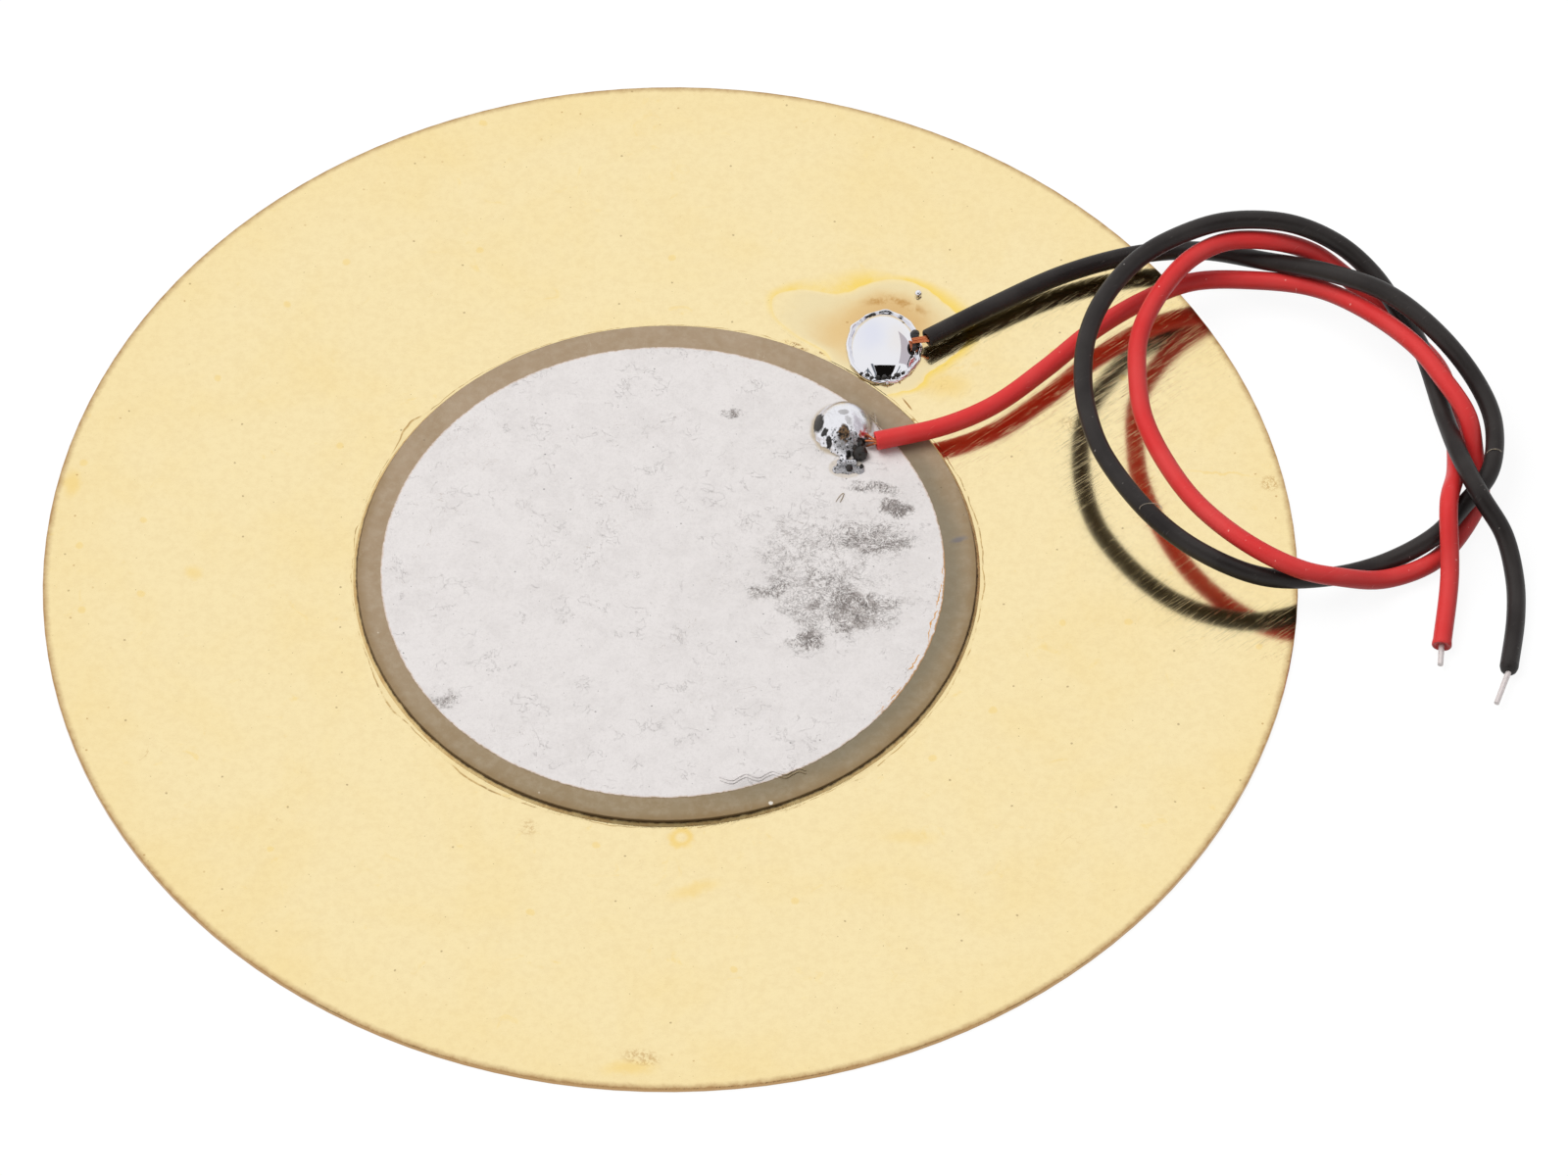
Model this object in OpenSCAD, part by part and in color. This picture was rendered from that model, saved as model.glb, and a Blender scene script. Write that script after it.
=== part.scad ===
// Piezo disc: a brass plate carries a thin ceramic element between two silver electrodes.
// A black wire is soldered to the plate and a red one to the upper electrode.
// Millimetres, +Z up. The origin is the centre of the plate's underside, and +X points from
// the centre of the plate to the side where the wires leave it.

/* [Plate] */
// Diameter of the brass plate
plate_d = 50; // [46:0.5:60]
// Thickness of the brass plate
plate_t = 0.2; // [0.1:0.05:0.5]
// Depth of the rounded rim that stamping leaves on the upper face
rim_roll = 0.03; // [0.01:0.01:0.04]

/* [Ceramic] */
// Diameter of the ceramic disc
ceramic_d = 24.7; // [20:0.1:26]
// Thickness of the ceramic disc
ceramic_t = 0.2; // [0.1:0.05:0.4]
// How far the ceramic disc sits off the plate's centre, along X
ceramic_x = -0.15; // [-0.5:0.05:0.5]
// Thickness of the glue film under the ceramic
glue_t = 0.02; // [0.01:0.01:0.05]
// Width of the glue bead that was pressed out round the ceramic
glue_bead_w = 0.15; // [0.05:0.05:0.4]
// Height of the glue bead against the ceramic's edge
glue_bead_h = 0.12; // [0.08:0.01:0.13]

/* [Electrodes] */
// Width of the bare ceramic that the print leaves round the upper electrode
electrode_margin = 1.1; // [0.5:0.05:2]
// Thickness of each fired silver electrode
electrode_t = 0.01; // [0.01:0.01:0.03]
// How far the print sits off the ceramic's centre, along X
electrode_x = -0.15; // [-0.3:0.05:0.3]

/* [Solder joints] */
// Clear width of plate between the glue bead and the foot of the plate joint
plate_joint_out = 0.1; // [0.05:0.05:2]
// Distance from the upper electrode's edge in to the middle of the electrode joint
electrode_joint_in = 1.1; // [1:0.05:2]
// Width of the plate joint's dome, along X
plate_joint_w = 2.6; // [2:0.1:3]
// Length of the plate joint's dome, along Y
plate_joint_l = 3.2; // [2:0.1:3.6]
// Height of the plate joint
plate_joint_h = 0.7; // [0.5:0.05:1.2]
// Width of the electrode joint's dome, along X
electrode_joint_w = 2.3; // [1.8:0.1:2.6]
// Length of the electrode joint's dome, along Y
electrode_joint_l = 2.6; // [1.8:0.1:2.8]
// Height of the electrode joint
electrode_joint_h = 0.85; // [0.5:0.05:1.2]
// How far the thin wetted skirt reaches beyond each dome
skirt_w = 0.3; // [0.1:0.05:0.4]
// Thickness of the wetted skirt
skirt_t = 0.04; // [0.02:0.01:0.08]
// Diameter of the splashed bead beside the plate joint
bead_d = 0.3; // [0.2:0.05:0.5]
// Thickness of the dried flux film
flux_t = 0.01; // [0.01:0.01:0.03]

/* [Wires] */
// Diameter over each wire's insulation
wire_d = 0.76; // [0.5:0.02:0.8]
// Diameter of one copper strand
strand_d = 0.08; // [0.05:0.01:0.1]
// Diameter of each tinned tip
tip_d = 0.25; // [0.15:0.01:0.4]
// Length of the black wire's tinned tip
black_tip_l = 1.6; // [1:0.1:4]
// Length of the red wire's tinned tip
red_tip_l = 0.9; // [0.5:0.1:4]

/* [Hidden] */

// Levels of the stack, from the plate up
plate_top = plate_t;
glue_top = plate_top + glue_t;
lower_electrode_top = glue_top + electrode_t;
ceramic_top = lower_electrode_top + ceramic_t;
electrode_top = ceramic_top + electrode_t;

// Discs of the element, from their own centres
ceramic_r = ceramic_d / 2;
glue_edge_r = ceramic_r + glue_bead_w;
electrode_r = ceramic_r - electrode_margin;
ceramic_at = [ceramic_x, 0];
electrode_at = [ceramic_x + electrode_x, 0];

// Places of the solder joints, by heading from the centre of what they sit beside or on
plate_joint_heading = 53;
electrode_joint_heading = 44;
plate_joint_reach = foot_reach(plate_joint_w, plate_joint_l, plate_joint_heading);
plate_joint_at = ceramic_at
    + (glue_edge_r + plate_joint_out + plate_joint_reach) * level_xy(plate_joint_heading);
electrode_joint_at =
    electrode_at + (electrode_r - electrode_joint_in) * level_xy(electrode_joint_heading);
joint_sides = 28;

// Low tail that ran out of the electrode joint
tail_heading = 280;
tail_reach = 0.65;

// What lies on the plate round its joint, from the middle of the joint
bead_at = plate_joint_at + [1.45, 2.6];
flux_pool_at = plate_joint_at + [0.2, 1];
flux_pool_d = 5.2;
flux_lobe_at = plate_joint_at + [-3.4, 2.1];
flux_lobe_d = 2.4;

// Strands: one in the middle and a ring round it
strand_pitch = strand_d + 0.01;
strand_sides = 24;
strand_sink = 0.7;
conductor_d = 2 * strand_pitch + strand_d;

// Wires: eight sides round each tube
wire_sides = 8;
wire_r = wire_d / 2;

// Route of the black wire's centre, from the plate joint to its tinned tip
black_route = [
    [10.3, 11.4, 0.8], [13.0, 13.1, 0.8], [16.0, 14.7, 0.9], [19.0, 15.6, 1.0],
    [21.5, 15.6, 1.2], [24.0, 14.6, 1.8], [26.4, 13.4, 2.6], [28.8, 11.9, 3.1],
    [30.8, 10.0, 2.9], [32.2, 8.3, 2.2], [32.9, 6.6, 1.8], [32.9, 4.7, 1.7],
    [32.6, 3.8, 1.5], [31.7, 2.7, 1.2], [30.5, 1.2, 1.1], [28.5, 0.3, 0.5],
    [26.0, -0.9, 1.1], [23.5, -1.3, 1.7], [21.0, -0.4, 2.2], [19.1, 1.2, 2.5],
    [17.3, 3.9, 2.8], [16.7, 5.8, 2.9], [16.5, 7.8, 2.9], [16.7, 9.8, 3.0],
    [17.4, 11.6, 3.2], [18.8, 13.5, 3.3], [20.4, 14.6, 3.4], [22.4, 15.3, 3.5],
    [24.9, 15.2, 3.5], [26.9, 14.7, 2.8], [28.3, 13.6, 2.2], [29.5, 11.7, 1.7],
    [30.2, 10.2, 1.6], [31.0, 6.9, 1.5], [31.5, 4.5, 2.1], [32.3, 2.3, 2.2],
    [33.2, 1.1, 1.3], [33.6, -0.5, 0.6], [33.6, -2.3, 0.4], [33.2, -5.1, 0.4]
];
black_tip_heading = 251;

// Route of the red wire's centre, from the electrode joint to its tinned tip
red_route = [
    [8.2, 6.1, 0.9], [11.0, 6.8, 1.0], [13.0, 7.8, 1.1], [15.0, 9.5, 1.2],
    [17.0, 11.5, 1.2], [19.0, 13.0, 1.2], [21.0, 13.9, 1.3], [23.5, 14.0, 1.3],
    [25.9, 13.4, 1.6], [27.9, 11.9, 2.1], [29.9, 9.7, 2.5], [30.9, 8.1, 2.5],
    [31.9, 6.4, 2.1], [32.2, 5.1, 1.1], [32.4, 3.9, 0.5], [32.0, 2.7, 0.4],
    [30.5, 0.5, 0.4], [28.5, -0.6, 0.6], [26.5, -1.4, 1.8], [25.0, -1.4, 2.3],
    [23.0, -0.4, 2.6], [21.0, 1.6, 2.6], [19.7, 3.9, 2.5], [18.9, 6.2, 2.4],
    [18.7, 8.2, 2.4], [18.8, 10.2, 2.4], [19.5, 12.0, 2.6], [20.9, 13.9, 2.8],
    [22.4, 14.8, 2.8], [24.3, 14.9, 2.7], [25.9, 14.8, 2.1], [27.1, 14.2, 1.5],
    [28.5, 13.0, 0.9], [30.0, 11.5, 0.5], [31.0, 10.0, 0.4], [31.4, 7.8, 0.4],
    [31.4, 4.4, 1.2], [31.0, 2.0, 2.1], [31.0, -0.7, 0.9], [30.6, -3.8, 0.4]
];
red_tip_heading = 265;

// Height at which each conductor aims into its joint, and its bare length
aim = 0.6;
plate_joint_z = plate_top + aim * plate_joint_h;
electrode_joint_z = electrode_top + aim * electrode_joint_h;
black_to_joint = into_joint(black_route, plate_joint_at, plate_joint_z);
red_to_joint = into_joint(red_route, electrode_joint_at, electrode_joint_z);
plate_bare_l = norm(black_to_joint) - strand_sink;
electrode_bare_l = norm(red_to_joint) - strand_sink;

// ---------- vectors ----------

function unit(v) = v / norm(v);
function last(list) = list[len(list) - 1];
function level_xy(heading) = [cos(heading), sin(heading)];
function level_direction(heading) = [cos(heading), sin(heading), 0];

// Direction of a route at point i; the end points face along the bare conductor
function direction(route, i, start_direction, end_direction) =
    i == 0 ? start_direction :
    i == len(route) - 1 ? end_direction :
    unit(unit(route[i + 1] - route[i]) + unit(route[i] - route[i - 1]));

// ---------- wires ----------

function ring(centre, along, r, sides) =
    let(across = unit(cross([0, 0, 1], along)), above = cross(along, across))
    [for (k = [0 : sides - 1])
        let(a = (k + 0.5) * 360 / sides)
        centre + r * cos(a) * across + r * sin(a) * above];

// A solid tube with one ring of corners at each point of its route
module tube(route, r, sides, start_direction, end_direction) {
    n = len(route);
    corners = [for (i = [0 : n - 1])
        each ring(route[i], direction(route, i, start_direction, end_direction), r, sides)];
    walls = [for (i = [0 : n - 2], k = [0 : sides - 1])
        let(next = (k + 1) % sides)
        [i * sides + k, (i + 1) * sides + k, (i + 1) * sides + next, i * sides + next]];
    start_cap = [for (k = [0 : sides - 1]) k];
    end_cap = [for (k = [sides - 1 : -1 : 0]) (n - 1) * sides + k];
    polyhedron(corners, concat([start_cap], walls, [end_cap]));
}

// Places a child's +Z along a direction, from a point
module along(point, towards) {
    tilt = acos(towards.z / norm(towards));
    turn = atan2(towards.y, towards.x);
    translate(point) rotate([0, tilt, turn]) children();
}

module tinned_tip(route, heading, length) {
    along(last(route), level_direction(heading)) cylinder(h = length, d = tip_d, $fn = 48);
}

// From the end of the insulation to the point in its joint that the conductor aims at
function into_joint(route, joint_at, joint_z) = [joint_at.x, joint_at.y, joint_z] - route[0];

module strands(length) {
    cylinder(h = length, d = strand_d, $fn = strand_sides);
    for (a = [0 : 60 : 300])
        rotate(a) translate([strand_pitch, 0, 0])
            cylinder(h = length, d = strand_d, $fn = strand_sides);
}

// ---------- solder ----------

// Furthest that the foot of a joint reaches from its middle, measured along a heading
function foot_reach(w, l, heading) =
    norm([(w / 2 + skirt_w) * cos(heading), (l / 2 + skirt_w) * sin(heading)]);

// Half section of a joint, from its foot up: share of the dome's radius, share of the
// skirt beyond it, and height as a share of the whole
function dome_profile(edge, steps = 5) =
    concat(
        [[1, 1, 0], [1, 0.5, edge]],
        [for (i = [0 : steps - 1])
            let(a = 90 * i / steps)
            [cos(a), 0, edge + (1 - edge) * sin(a)]]
    );

// How much further a joint spreads at one angle, most of all at its foot
function spread(angle, level, reach, heading) =
    1 + reach * pow(1 - level, 2) * pow(max(0, cos(angle - heading)), 6);

// A domed joint of its own width, length and height, with its underside at z = 0
module joint(w, l, h, reach = 0, heading = 0) {
    profile = dome_profile(skirt_t / h);
    n = len(profile);
    corners = [for (p = profile, k = [0 : joint_sides - 1])
        let(a = k * 360 / joint_sides, wider = spread(a, p[2], reach, heading))
        [(w / 2 * p[0] * wider + skirt_w * p[1]) * cos(a),
         (l / 2 * p[0] * wider + skirt_w * p[1]) * sin(a),
         h * p[2]]];
    foot = [for (k = [0 : joint_sides - 1]) k];
    walls = [for (i = [0 : n - 2], k = [0 : joint_sides - 1])
        let(next = (k + 1) % joint_sides)
        [i * joint_sides + k, (i + 1) * joint_sides + k,
         (i + 1) * joint_sides + next, i * joint_sides + next]];
    crown = [for (k = [0 : joint_sides - 1])
        [(n - 1) * joint_sides + k, n * joint_sides, (n - 1) * joint_sides + (k + 1) % joint_sides]];
    polyhedron(concat(corners, [[0, 0, h]]), concat([foot], walls, crown));
}

// ---------- sub-parts ----------

module brass_plate() {
    color("#e8cf96") {
        cylinder(h = plate_t - rim_roll, d = plate_d, $fn = 180);
        translate([0, 0, plate_t - rim_roll])
            cylinder(h = rim_roll, d1 = plate_d, d2 = plate_d - 2 * rim_roll, $fn = 180);
    }
}

module adhesive() {
    r = ceramic_r;
    color("#8f7c55")
        translate([ceramic_at.x, ceramic_at.y, plate_top])
            rotate_extrude($fn = 180)
                polygon([[0, 0], [glue_edge_r, 0], [r, glue_bead_h], [r, glue_t], [0, glue_t]]);
}

module lower_electrode() {
    color("#d9d4d0")
        translate([ceramic_at.x, ceramic_at.y, glue_top])
            cylinder(h = electrode_t, r = ceramic_r, $fn = 180);
}

module ceramic_disc() {
    color("#a39176")
        translate([ceramic_at.x, ceramic_at.y, lower_electrode_top])
            cylinder(h = ceramic_t, r = ceramic_r, $fn = 180);
}

module upper_electrode() {
    color("#e9e4e2")
        translate([electrode_at.x, electrode_at.y, ceramic_top])
            cylinder(h = electrode_t, r = electrode_r, $fn = 180);
}

module plate_solder() {
    color("#d8dadd")
        difference() {
            translate([plate_joint_at.x, plate_joint_at.y, plate_top])
                joint(plate_joint_w, plate_joint_l, plate_joint_h);
            along(black_route[0], black_to_joint)
                cylinder(h = plate_bare_l, d = conductor_d, $fn = 48);
        }
}

module electrode_solder() {
    color("#cfd0d2")
        difference() {
            translate([electrode_joint_at.x, electrode_joint_at.y, electrode_top])
                joint(electrode_joint_w, electrode_joint_l, electrode_joint_h,
                    tail_reach, tail_heading);
            along(red_route[0], red_to_joint)
                cylinder(h = electrode_bare_l, d = conductor_d, $fn = 48);
        }
}

module solder_bead() {
    color("#b9b6ae")
        translate([bead_at.x, bead_at.y, plate_top + bead_d / 4])
            intersection() {
                sphere(d = bead_d, $fn = 32);
                translate([0, 0, bead_d / 4]) cube([bead_d, bead_d, bead_d], center = true);
            }
}

module flux_film() {
    rx = plate_joint_w / 2 + skirt_w;
    ry = plate_joint_l / 2 + skirt_w;
    color("#e6c37a")
        translate([0, 0, plate_top])
            linear_extrude(flux_t)
                difference() {
                    hull() {
                        translate(flux_pool_at) circle(d = flux_pool_d, $fn = 48);
                        translate(flux_lobe_at) circle(d = flux_lobe_d, $fn = 48);
                    }
                    translate(plate_joint_at)
                        polygon([for (k = [0 : joint_sides - 1])
                            let(a = k * 360 / joint_sides) [rx * cos(a), ry * sin(a)]]);
                    translate(bead_at) circle(d = bead_d, $fn = 32);
                    translate(ceramic_at) circle(r = glue_edge_r, $fn = 180);
                }
}

module black_strands() {
    color("#b8693f") along(black_route[0], black_to_joint) strands(plate_bare_l);
}

module red_strands() {
    color("#b8693f") along(red_route[0], red_to_joint) strands(electrode_bare_l);
}

module black_wire() {
    color("#33302f")
        tube(black_route, wire_r, wire_sides, -unit(black_to_joint),
            level_direction(black_tip_heading));
}

module red_wire() {
    color("#c8323a")
        tube(red_route, wire_r, wire_sides, -unit(red_to_joint),
            level_direction(red_tip_heading));
}

module black_tip() {
    color("#d5d0cf") tinned_tip(black_route, black_tip_heading, black_tip_l);
}

module red_tip() {
    color("#d5d0cf") tinned_tip(red_route, red_tip_heading, red_tip_l);
}

brass_plate();
adhesive();
lower_electrode();
ceramic_disc();
upper_electrode();
plate_solder();
electrode_solder();
solder_bead();
flux_film();
black_strands();
red_strands();
black_wire();
red_wire();
black_tip();
red_tip();
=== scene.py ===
"""Finish and fine shapes of a piezo disc: a brass plate, a ceramic element and two soldered leads."""

import math

import bmesh
import bpy
from mathutils import Matrix, Vector, noise


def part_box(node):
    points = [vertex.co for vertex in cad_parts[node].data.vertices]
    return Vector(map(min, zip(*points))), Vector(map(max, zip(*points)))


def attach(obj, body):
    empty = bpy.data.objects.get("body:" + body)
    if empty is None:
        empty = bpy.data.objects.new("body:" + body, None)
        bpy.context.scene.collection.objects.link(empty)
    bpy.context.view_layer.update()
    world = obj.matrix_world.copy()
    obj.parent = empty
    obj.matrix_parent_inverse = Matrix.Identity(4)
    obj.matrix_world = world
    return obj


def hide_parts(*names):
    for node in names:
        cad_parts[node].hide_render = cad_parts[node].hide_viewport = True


bl_info = {
    "name": "Piezo Disc",
    "version": (1, 0, 0),
    "blender": (4, 5, 0),
    "location": "3D View > Sidebar > Piezo Disc",
    "description": "Builds a brass piezo disc with its solder joints and two leads",
    "category": "Object",
}

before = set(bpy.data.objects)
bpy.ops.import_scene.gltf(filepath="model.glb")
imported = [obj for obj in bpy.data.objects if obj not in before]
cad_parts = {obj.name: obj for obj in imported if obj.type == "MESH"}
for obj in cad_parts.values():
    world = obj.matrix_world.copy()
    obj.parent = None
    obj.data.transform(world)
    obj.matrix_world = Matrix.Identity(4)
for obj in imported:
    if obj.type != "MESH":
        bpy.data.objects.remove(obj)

MM = 0.001
BODY = "root"


def middle(node):
    """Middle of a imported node's box."""
    low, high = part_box(node)
    return (low + high) / 2


def top(node):
    """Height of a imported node's upper side."""
    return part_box(node)[1].z


def half_width(node):
    """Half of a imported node's size along X."""
    low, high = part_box(node)
    return (high.x - low.x) / 2


# Levels and discs of the stack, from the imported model
PLATE_TOP = top("brass_plate")
PLATE_R = half_width("brass_plate")
ELEMENT_R = half_width("ceramic_disc")
ELEMENT_AT = middle("ceramic_disc")
PRINT_TOP = top("upper_electrode")
PRINT_R = half_width("upper_electrode")
PRINT_AT = middle("upper_electrode")
PLATE_JOINT_AT = middle("plate_solder")
BEAD_AT = middle("solder_bead")

# Middle of the dome on the electrode; its packed box also holds the tail
PRINT_JOINT_AT = Vector((0.00692, 0.00710, 0))

# Routes of the two leads, from their joints to the tips
BLACK_ROUTE = [
    (0.0103, 0.0114, 0.0008), (0.0130, 0.0131, 0.0008), (0.0160, 0.0147, 0.0009),
    (0.0190, 0.0156, 0.0010), (0.0215, 0.0156, 0.0012), (0.0240, 0.0146, 0.0018),
    (0.0264, 0.0134, 0.0026), (0.0288, 0.0119, 0.0031), (0.0308, 0.0100, 0.0029),
    (0.0322, 0.0083, 0.0022), (0.0329, 0.0066, 0.0018), (0.0329, 0.0047, 0.0017),
    (0.0326, 0.0038, 0.0015), (0.0317, 0.0027, 0.0012), (0.0305, 0.0012, 0.0011),
    (0.0285, 0.0003, 0.0005), (0.0260, -0.0009, 0.0011), (0.0235, -0.0013, 0.0017),
    (0.0210, -0.0004, 0.0022), (0.0191, 0.0012, 0.0025), (0.0173, 0.0039, 0.0028),
    (0.0167, 0.0058, 0.0029), (0.0165, 0.0078, 0.0029), (0.0167, 0.0098, 0.0030),
    (0.0174, 0.0116, 0.0032), (0.0188, 0.0135, 0.0033), (0.0204, 0.0146, 0.0034),
    (0.0224, 0.0153, 0.0035), (0.0249, 0.0152, 0.0035), (0.0269, 0.0147, 0.0028),
    (0.0283, 0.0136, 0.0022), (0.0295, 0.0117, 0.0017), (0.0302, 0.0102, 0.0016),
    (0.0310, 0.0069, 0.0015), (0.0315, 0.0045, 0.0021), (0.0323, 0.0023, 0.0022),
    (0.0332, 0.0011, 0.0013), (0.0336, -0.0005, 0.0006), (0.0336, -0.0023, 0.0004),
    (0.0332, -0.0051, 0.0004),
]
RED_ROUTE = [
    (0.0082, 0.0061, 0.0009), (0.0110, 0.0068, 0.0010), (0.0130, 0.0078, 0.0011),
    (0.0150, 0.0095, 0.0012), (0.0170, 0.0115, 0.0012), (0.0190, 0.0130, 0.0012),
    (0.0210, 0.0139, 0.0013), (0.0235, 0.0140, 0.0013), (0.0259, 0.0134, 0.0016),
    (0.0279, 0.0119, 0.0021), (0.0299, 0.0097, 0.0025), (0.0309, 0.0081, 0.0025),
    (0.0319, 0.0064, 0.0021), (0.0322, 0.0051, 0.0011), (0.0324, 0.0039, 0.0005),
    (0.0320, 0.0027, 0.0004), (0.0305, 0.0005, 0.0004), (0.0285, -0.0006, 0.0006),
    (0.0265, -0.0014, 0.0018), (0.0250, -0.0014, 0.0023), (0.0230, -0.0004, 0.0026),
    (0.0210, 0.0016, 0.0026), (0.0197, 0.0039, 0.0025), (0.0189, 0.0062, 0.0024),
    (0.0187, 0.0082, 0.0024), (0.0188, 0.0102, 0.0024), (0.0195, 0.0120, 0.0026),
    (0.0209, 0.0139, 0.0028), (0.0224, 0.0148, 0.0028), (0.0243, 0.0149, 0.0027),
    (0.0259, 0.0148, 0.0021), (0.0271, 0.0142, 0.0015), (0.0285, 0.0130, 0.0009),
    (0.0300, 0.0115, 0.0005), (0.0310, 0.0100, 0.0004), (0.0314, 0.0078, 0.0004),
    (0.0314, 0.0044, 0.0012), (0.0310, 0.0020, 0.0021), (0.0310, -0.0007, 0.0009),
    (0.0306, -0.0038, 0.0004),
]


# ---------- colours ----------


def colour(code):
    """Linear red, green and blue of a #rrggbb code."""
    shares = [int(code[i : i + 2], 16) / 255 for i in (1, 3, 5)]
    return tuple(c / 12.92 if c <= 0.04045 else ((c + 0.055) / 1.055) ** 2.4 for c in shares)


def swatch(name, code, description):
    """A colour that the sidebar can change."""
    return bpy.props.FloatVectorProperty(
        name=name, description=description, subtype="COLOR", size=3, min=0, max=1,
        default=colour(code),
    )


def length(name, default, description, low=0.0):
    """A length that the sidebar can change, in metres."""
    return bpy.props.FloatProperty(
        name=name, description=description, default=default, min=low,
        unit="LENGTH", subtype="DISTANCE", precision=5,
    )


class PiezoPlate(bpy.types.PropertyGroup):
    """Colours of the plate and the element"""

    brass: swatch("Brass", "#f9e6b4", "Clean brass")
    tarnish: swatch("Tarnish", "#f5d47f", "Yellowed smears on the brass")
    stain: swatch("Stains", "#b98d52", "Brown stains on the brass")
    cut_edge: swatch("Cut edge", "#b08a5c", "Browned line round the stamped rim")
    speck: swatch("Specks", "#6a4d26", "Dark specks on the brass")
    ceramic: swatch("Ceramic", "#a69178", "Fired ceramic")
    ceramic_near: swatch("Near ceramic", "#948265", "Greyer side of the ceramic")
    ceramic_rim: swatch("Ceramic rim", "#856a42", "Ceramic where glue has crept over its edge")
    glue: swatch("Glue", "#d8bd84", "Glue that was pressed out round the ceramic")
    # Painted shade: the glue at the foot of the ceramic's near side is darkened as if the ceramic
    # shaded it
    glue_in_painted_shade: swatch("Dark glue", "#3a2810", "Glue at the foot of the ceramic's near side")
    silver: swatch("Silver", "#e3dedc", "Fired silver print")
    smudge: swatch("Smudge", "#877e79", "Dark rubbed marks on the silver")
    brush_angle: bpy.props.FloatProperty(
        name="Brush angle", description="Heading of the fine rolling lines on the brass",
        default=math.radians(39), subtype="ANGLE",
    )


class PiezoSolder(bpy.types.PropertyGroup):
    """Colours of the joints"""

    solder: swatch("Solder", "#e9e9ee", "Bright solder")
    flux: swatch("Flux", "#e6c387", "Dried flux near the joint")
    flux_edge: swatch("Thin flux", "#eddcb0", "Dried flux further out")
    flux_line: swatch("Flux line", "#f8d872", "Yellow haze round the dried flux")
    stain: swatch("Flux crumbs", "#b98d52", "Brown crumbs in the dried flux")
    char: swatch("Char", "#120e0b", "Burnt flux")
    copper: swatch("Copper", "#d98358", "Bare copper strands")


class PiezoLeads(bpy.types.PropertyGroup):
    """Sizes and colours of the leads"""

    diameter: length("Diameter", 0.00076, "Diameter over the insulation", 0.0004)
    bore: length("Bore", 0.00038, "Diameter of the hole at a cut end", 0.0001)
    strand: length("Strand", 0.00009, "Diameter of one copper strand", 0.00002)
    conductor: length("Conductor", 0.00025, "Diameter of a tinned tip", 0.0001)
    black: swatch("Black", "#1d1817", "Insulation of the plate's lead")
    red: swatch("Red", "#d42e2e", "Insulation of the electrode's lead")
    tinned: swatch("Tinned", "#e0d7d5", "Tinned conductor")


class PiezoStage(bpy.types.PropertyGroup):
    """Camera and light"""

    distance: length("Distance", 0.5, "From the camera to what it looks at", 0.1)
    elevation: bpy.props.FloatProperty(
        name="Elevation", description="Height of the camera above the horizon",
        default=math.radians(53.03), subtype="ANGLE",
    )
    lens: bpy.props.FloatProperty(
        name="Lens", description="Focal length in millimetres", default=288.2, min=20
    )
    ambient: bpy.props.FloatProperty(
        name="Ambient", description="Light from all round", default=0.45, min=0
    )
    lamp: bpy.props.FloatProperty(
        name="Lamp", description="Power of the soft lamp overhead, in watts", default=2.65,
        min=0, subtype="POWER",
    )


# ---------- working on meshes ----------


def deselect_all():
    """Leaves edit mode and clears the selection."""
    if bpy.context.mode != "OBJECT":
        bpy.ops.object.mode_set(mode="OBJECT")
    bpy.ops.object.select_all(action="DESELECT")


def activate(piece):
    """Makes one piece the only selected and active one."""
    deselect_all()
    piece.select_set(True)
    bpy.context.view_layer.objects.active = piece


def edit(piece):
    """Opens a piece for editing with nothing in it selected."""
    activate(piece)
    bpy.ops.object.mode_set(mode="EDIT")
    bpy.ops.mesh.select_all(action="DESELECT")


def pick_points(test):
    """Selects the points of the edited mesh whose place passes a test."""
    bpy.ops.mesh.select_mode(type="VERT")
    mesh = bmesh.from_edit_mesh(bpy.context.edit_object.data)
    for point in mesh.verts:
        point.select_set(test(point.co))
    mesh.select_flush_mode()
    bmesh.update_edit_mesh(bpy.context.edit_object.data)


def clean(piece, merge=True):
    """Turns every face outwards, after doubled points are merged."""
    edit(piece)
    bpy.ops.mesh.select_all(action="SELECT")
    if merge:
        bpy.ops.mesh.remove_doubles(threshold=1e-7)
    bpy.ops.mesh.normals_make_consistent(inside=False)
    bpy.ops.object.mode_set(mode="OBJECT")


def named_primitive(name, size):
    """Names the primitive just added, and moves its place and size into its mesh."""
    piece = bpy.context.active_object
    piece.name = name
    piece.scale = size
    bpy.ops.object.transform_apply(location=True, rotation=True, scale=True)
    return piece


def roughen(piece, size, strength, group=""):
    """Pushes a surface in and out by a pattern of lumps of one size."""
    pattern = bpy.data.textures.new(piece.name + "_lumps", "CLOUDS")
    pattern.noise_scale = size
    activate(piece)
    lumps = piece.modifiers.new("lumps", "DISPLACE")
    lumps.texture = pattern
    lumps.texture_coords = "LOCAL"
    lumps.strength = strength
    lumps.vertex_group = group
    bpy.ops.object.modifier_apply(modifier=lumps.name)


def shade_smooth(piece, angle):
    """Smooth shading up to a given angle between faces."""
    activate(piece)
    bpy.ops.object.shade_smooth_by_angle(angle=math.radians(angle))


def group_of(piece, name, weight):
    """A vertex group with a weight worked out from each point's place."""
    made = piece.vertex_groups.new(name=name)
    for point in piece.data.vertices:
        share = weight(point.co)
        if share > 0:
            made.add([point.index], share, "REPLACE")


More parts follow.
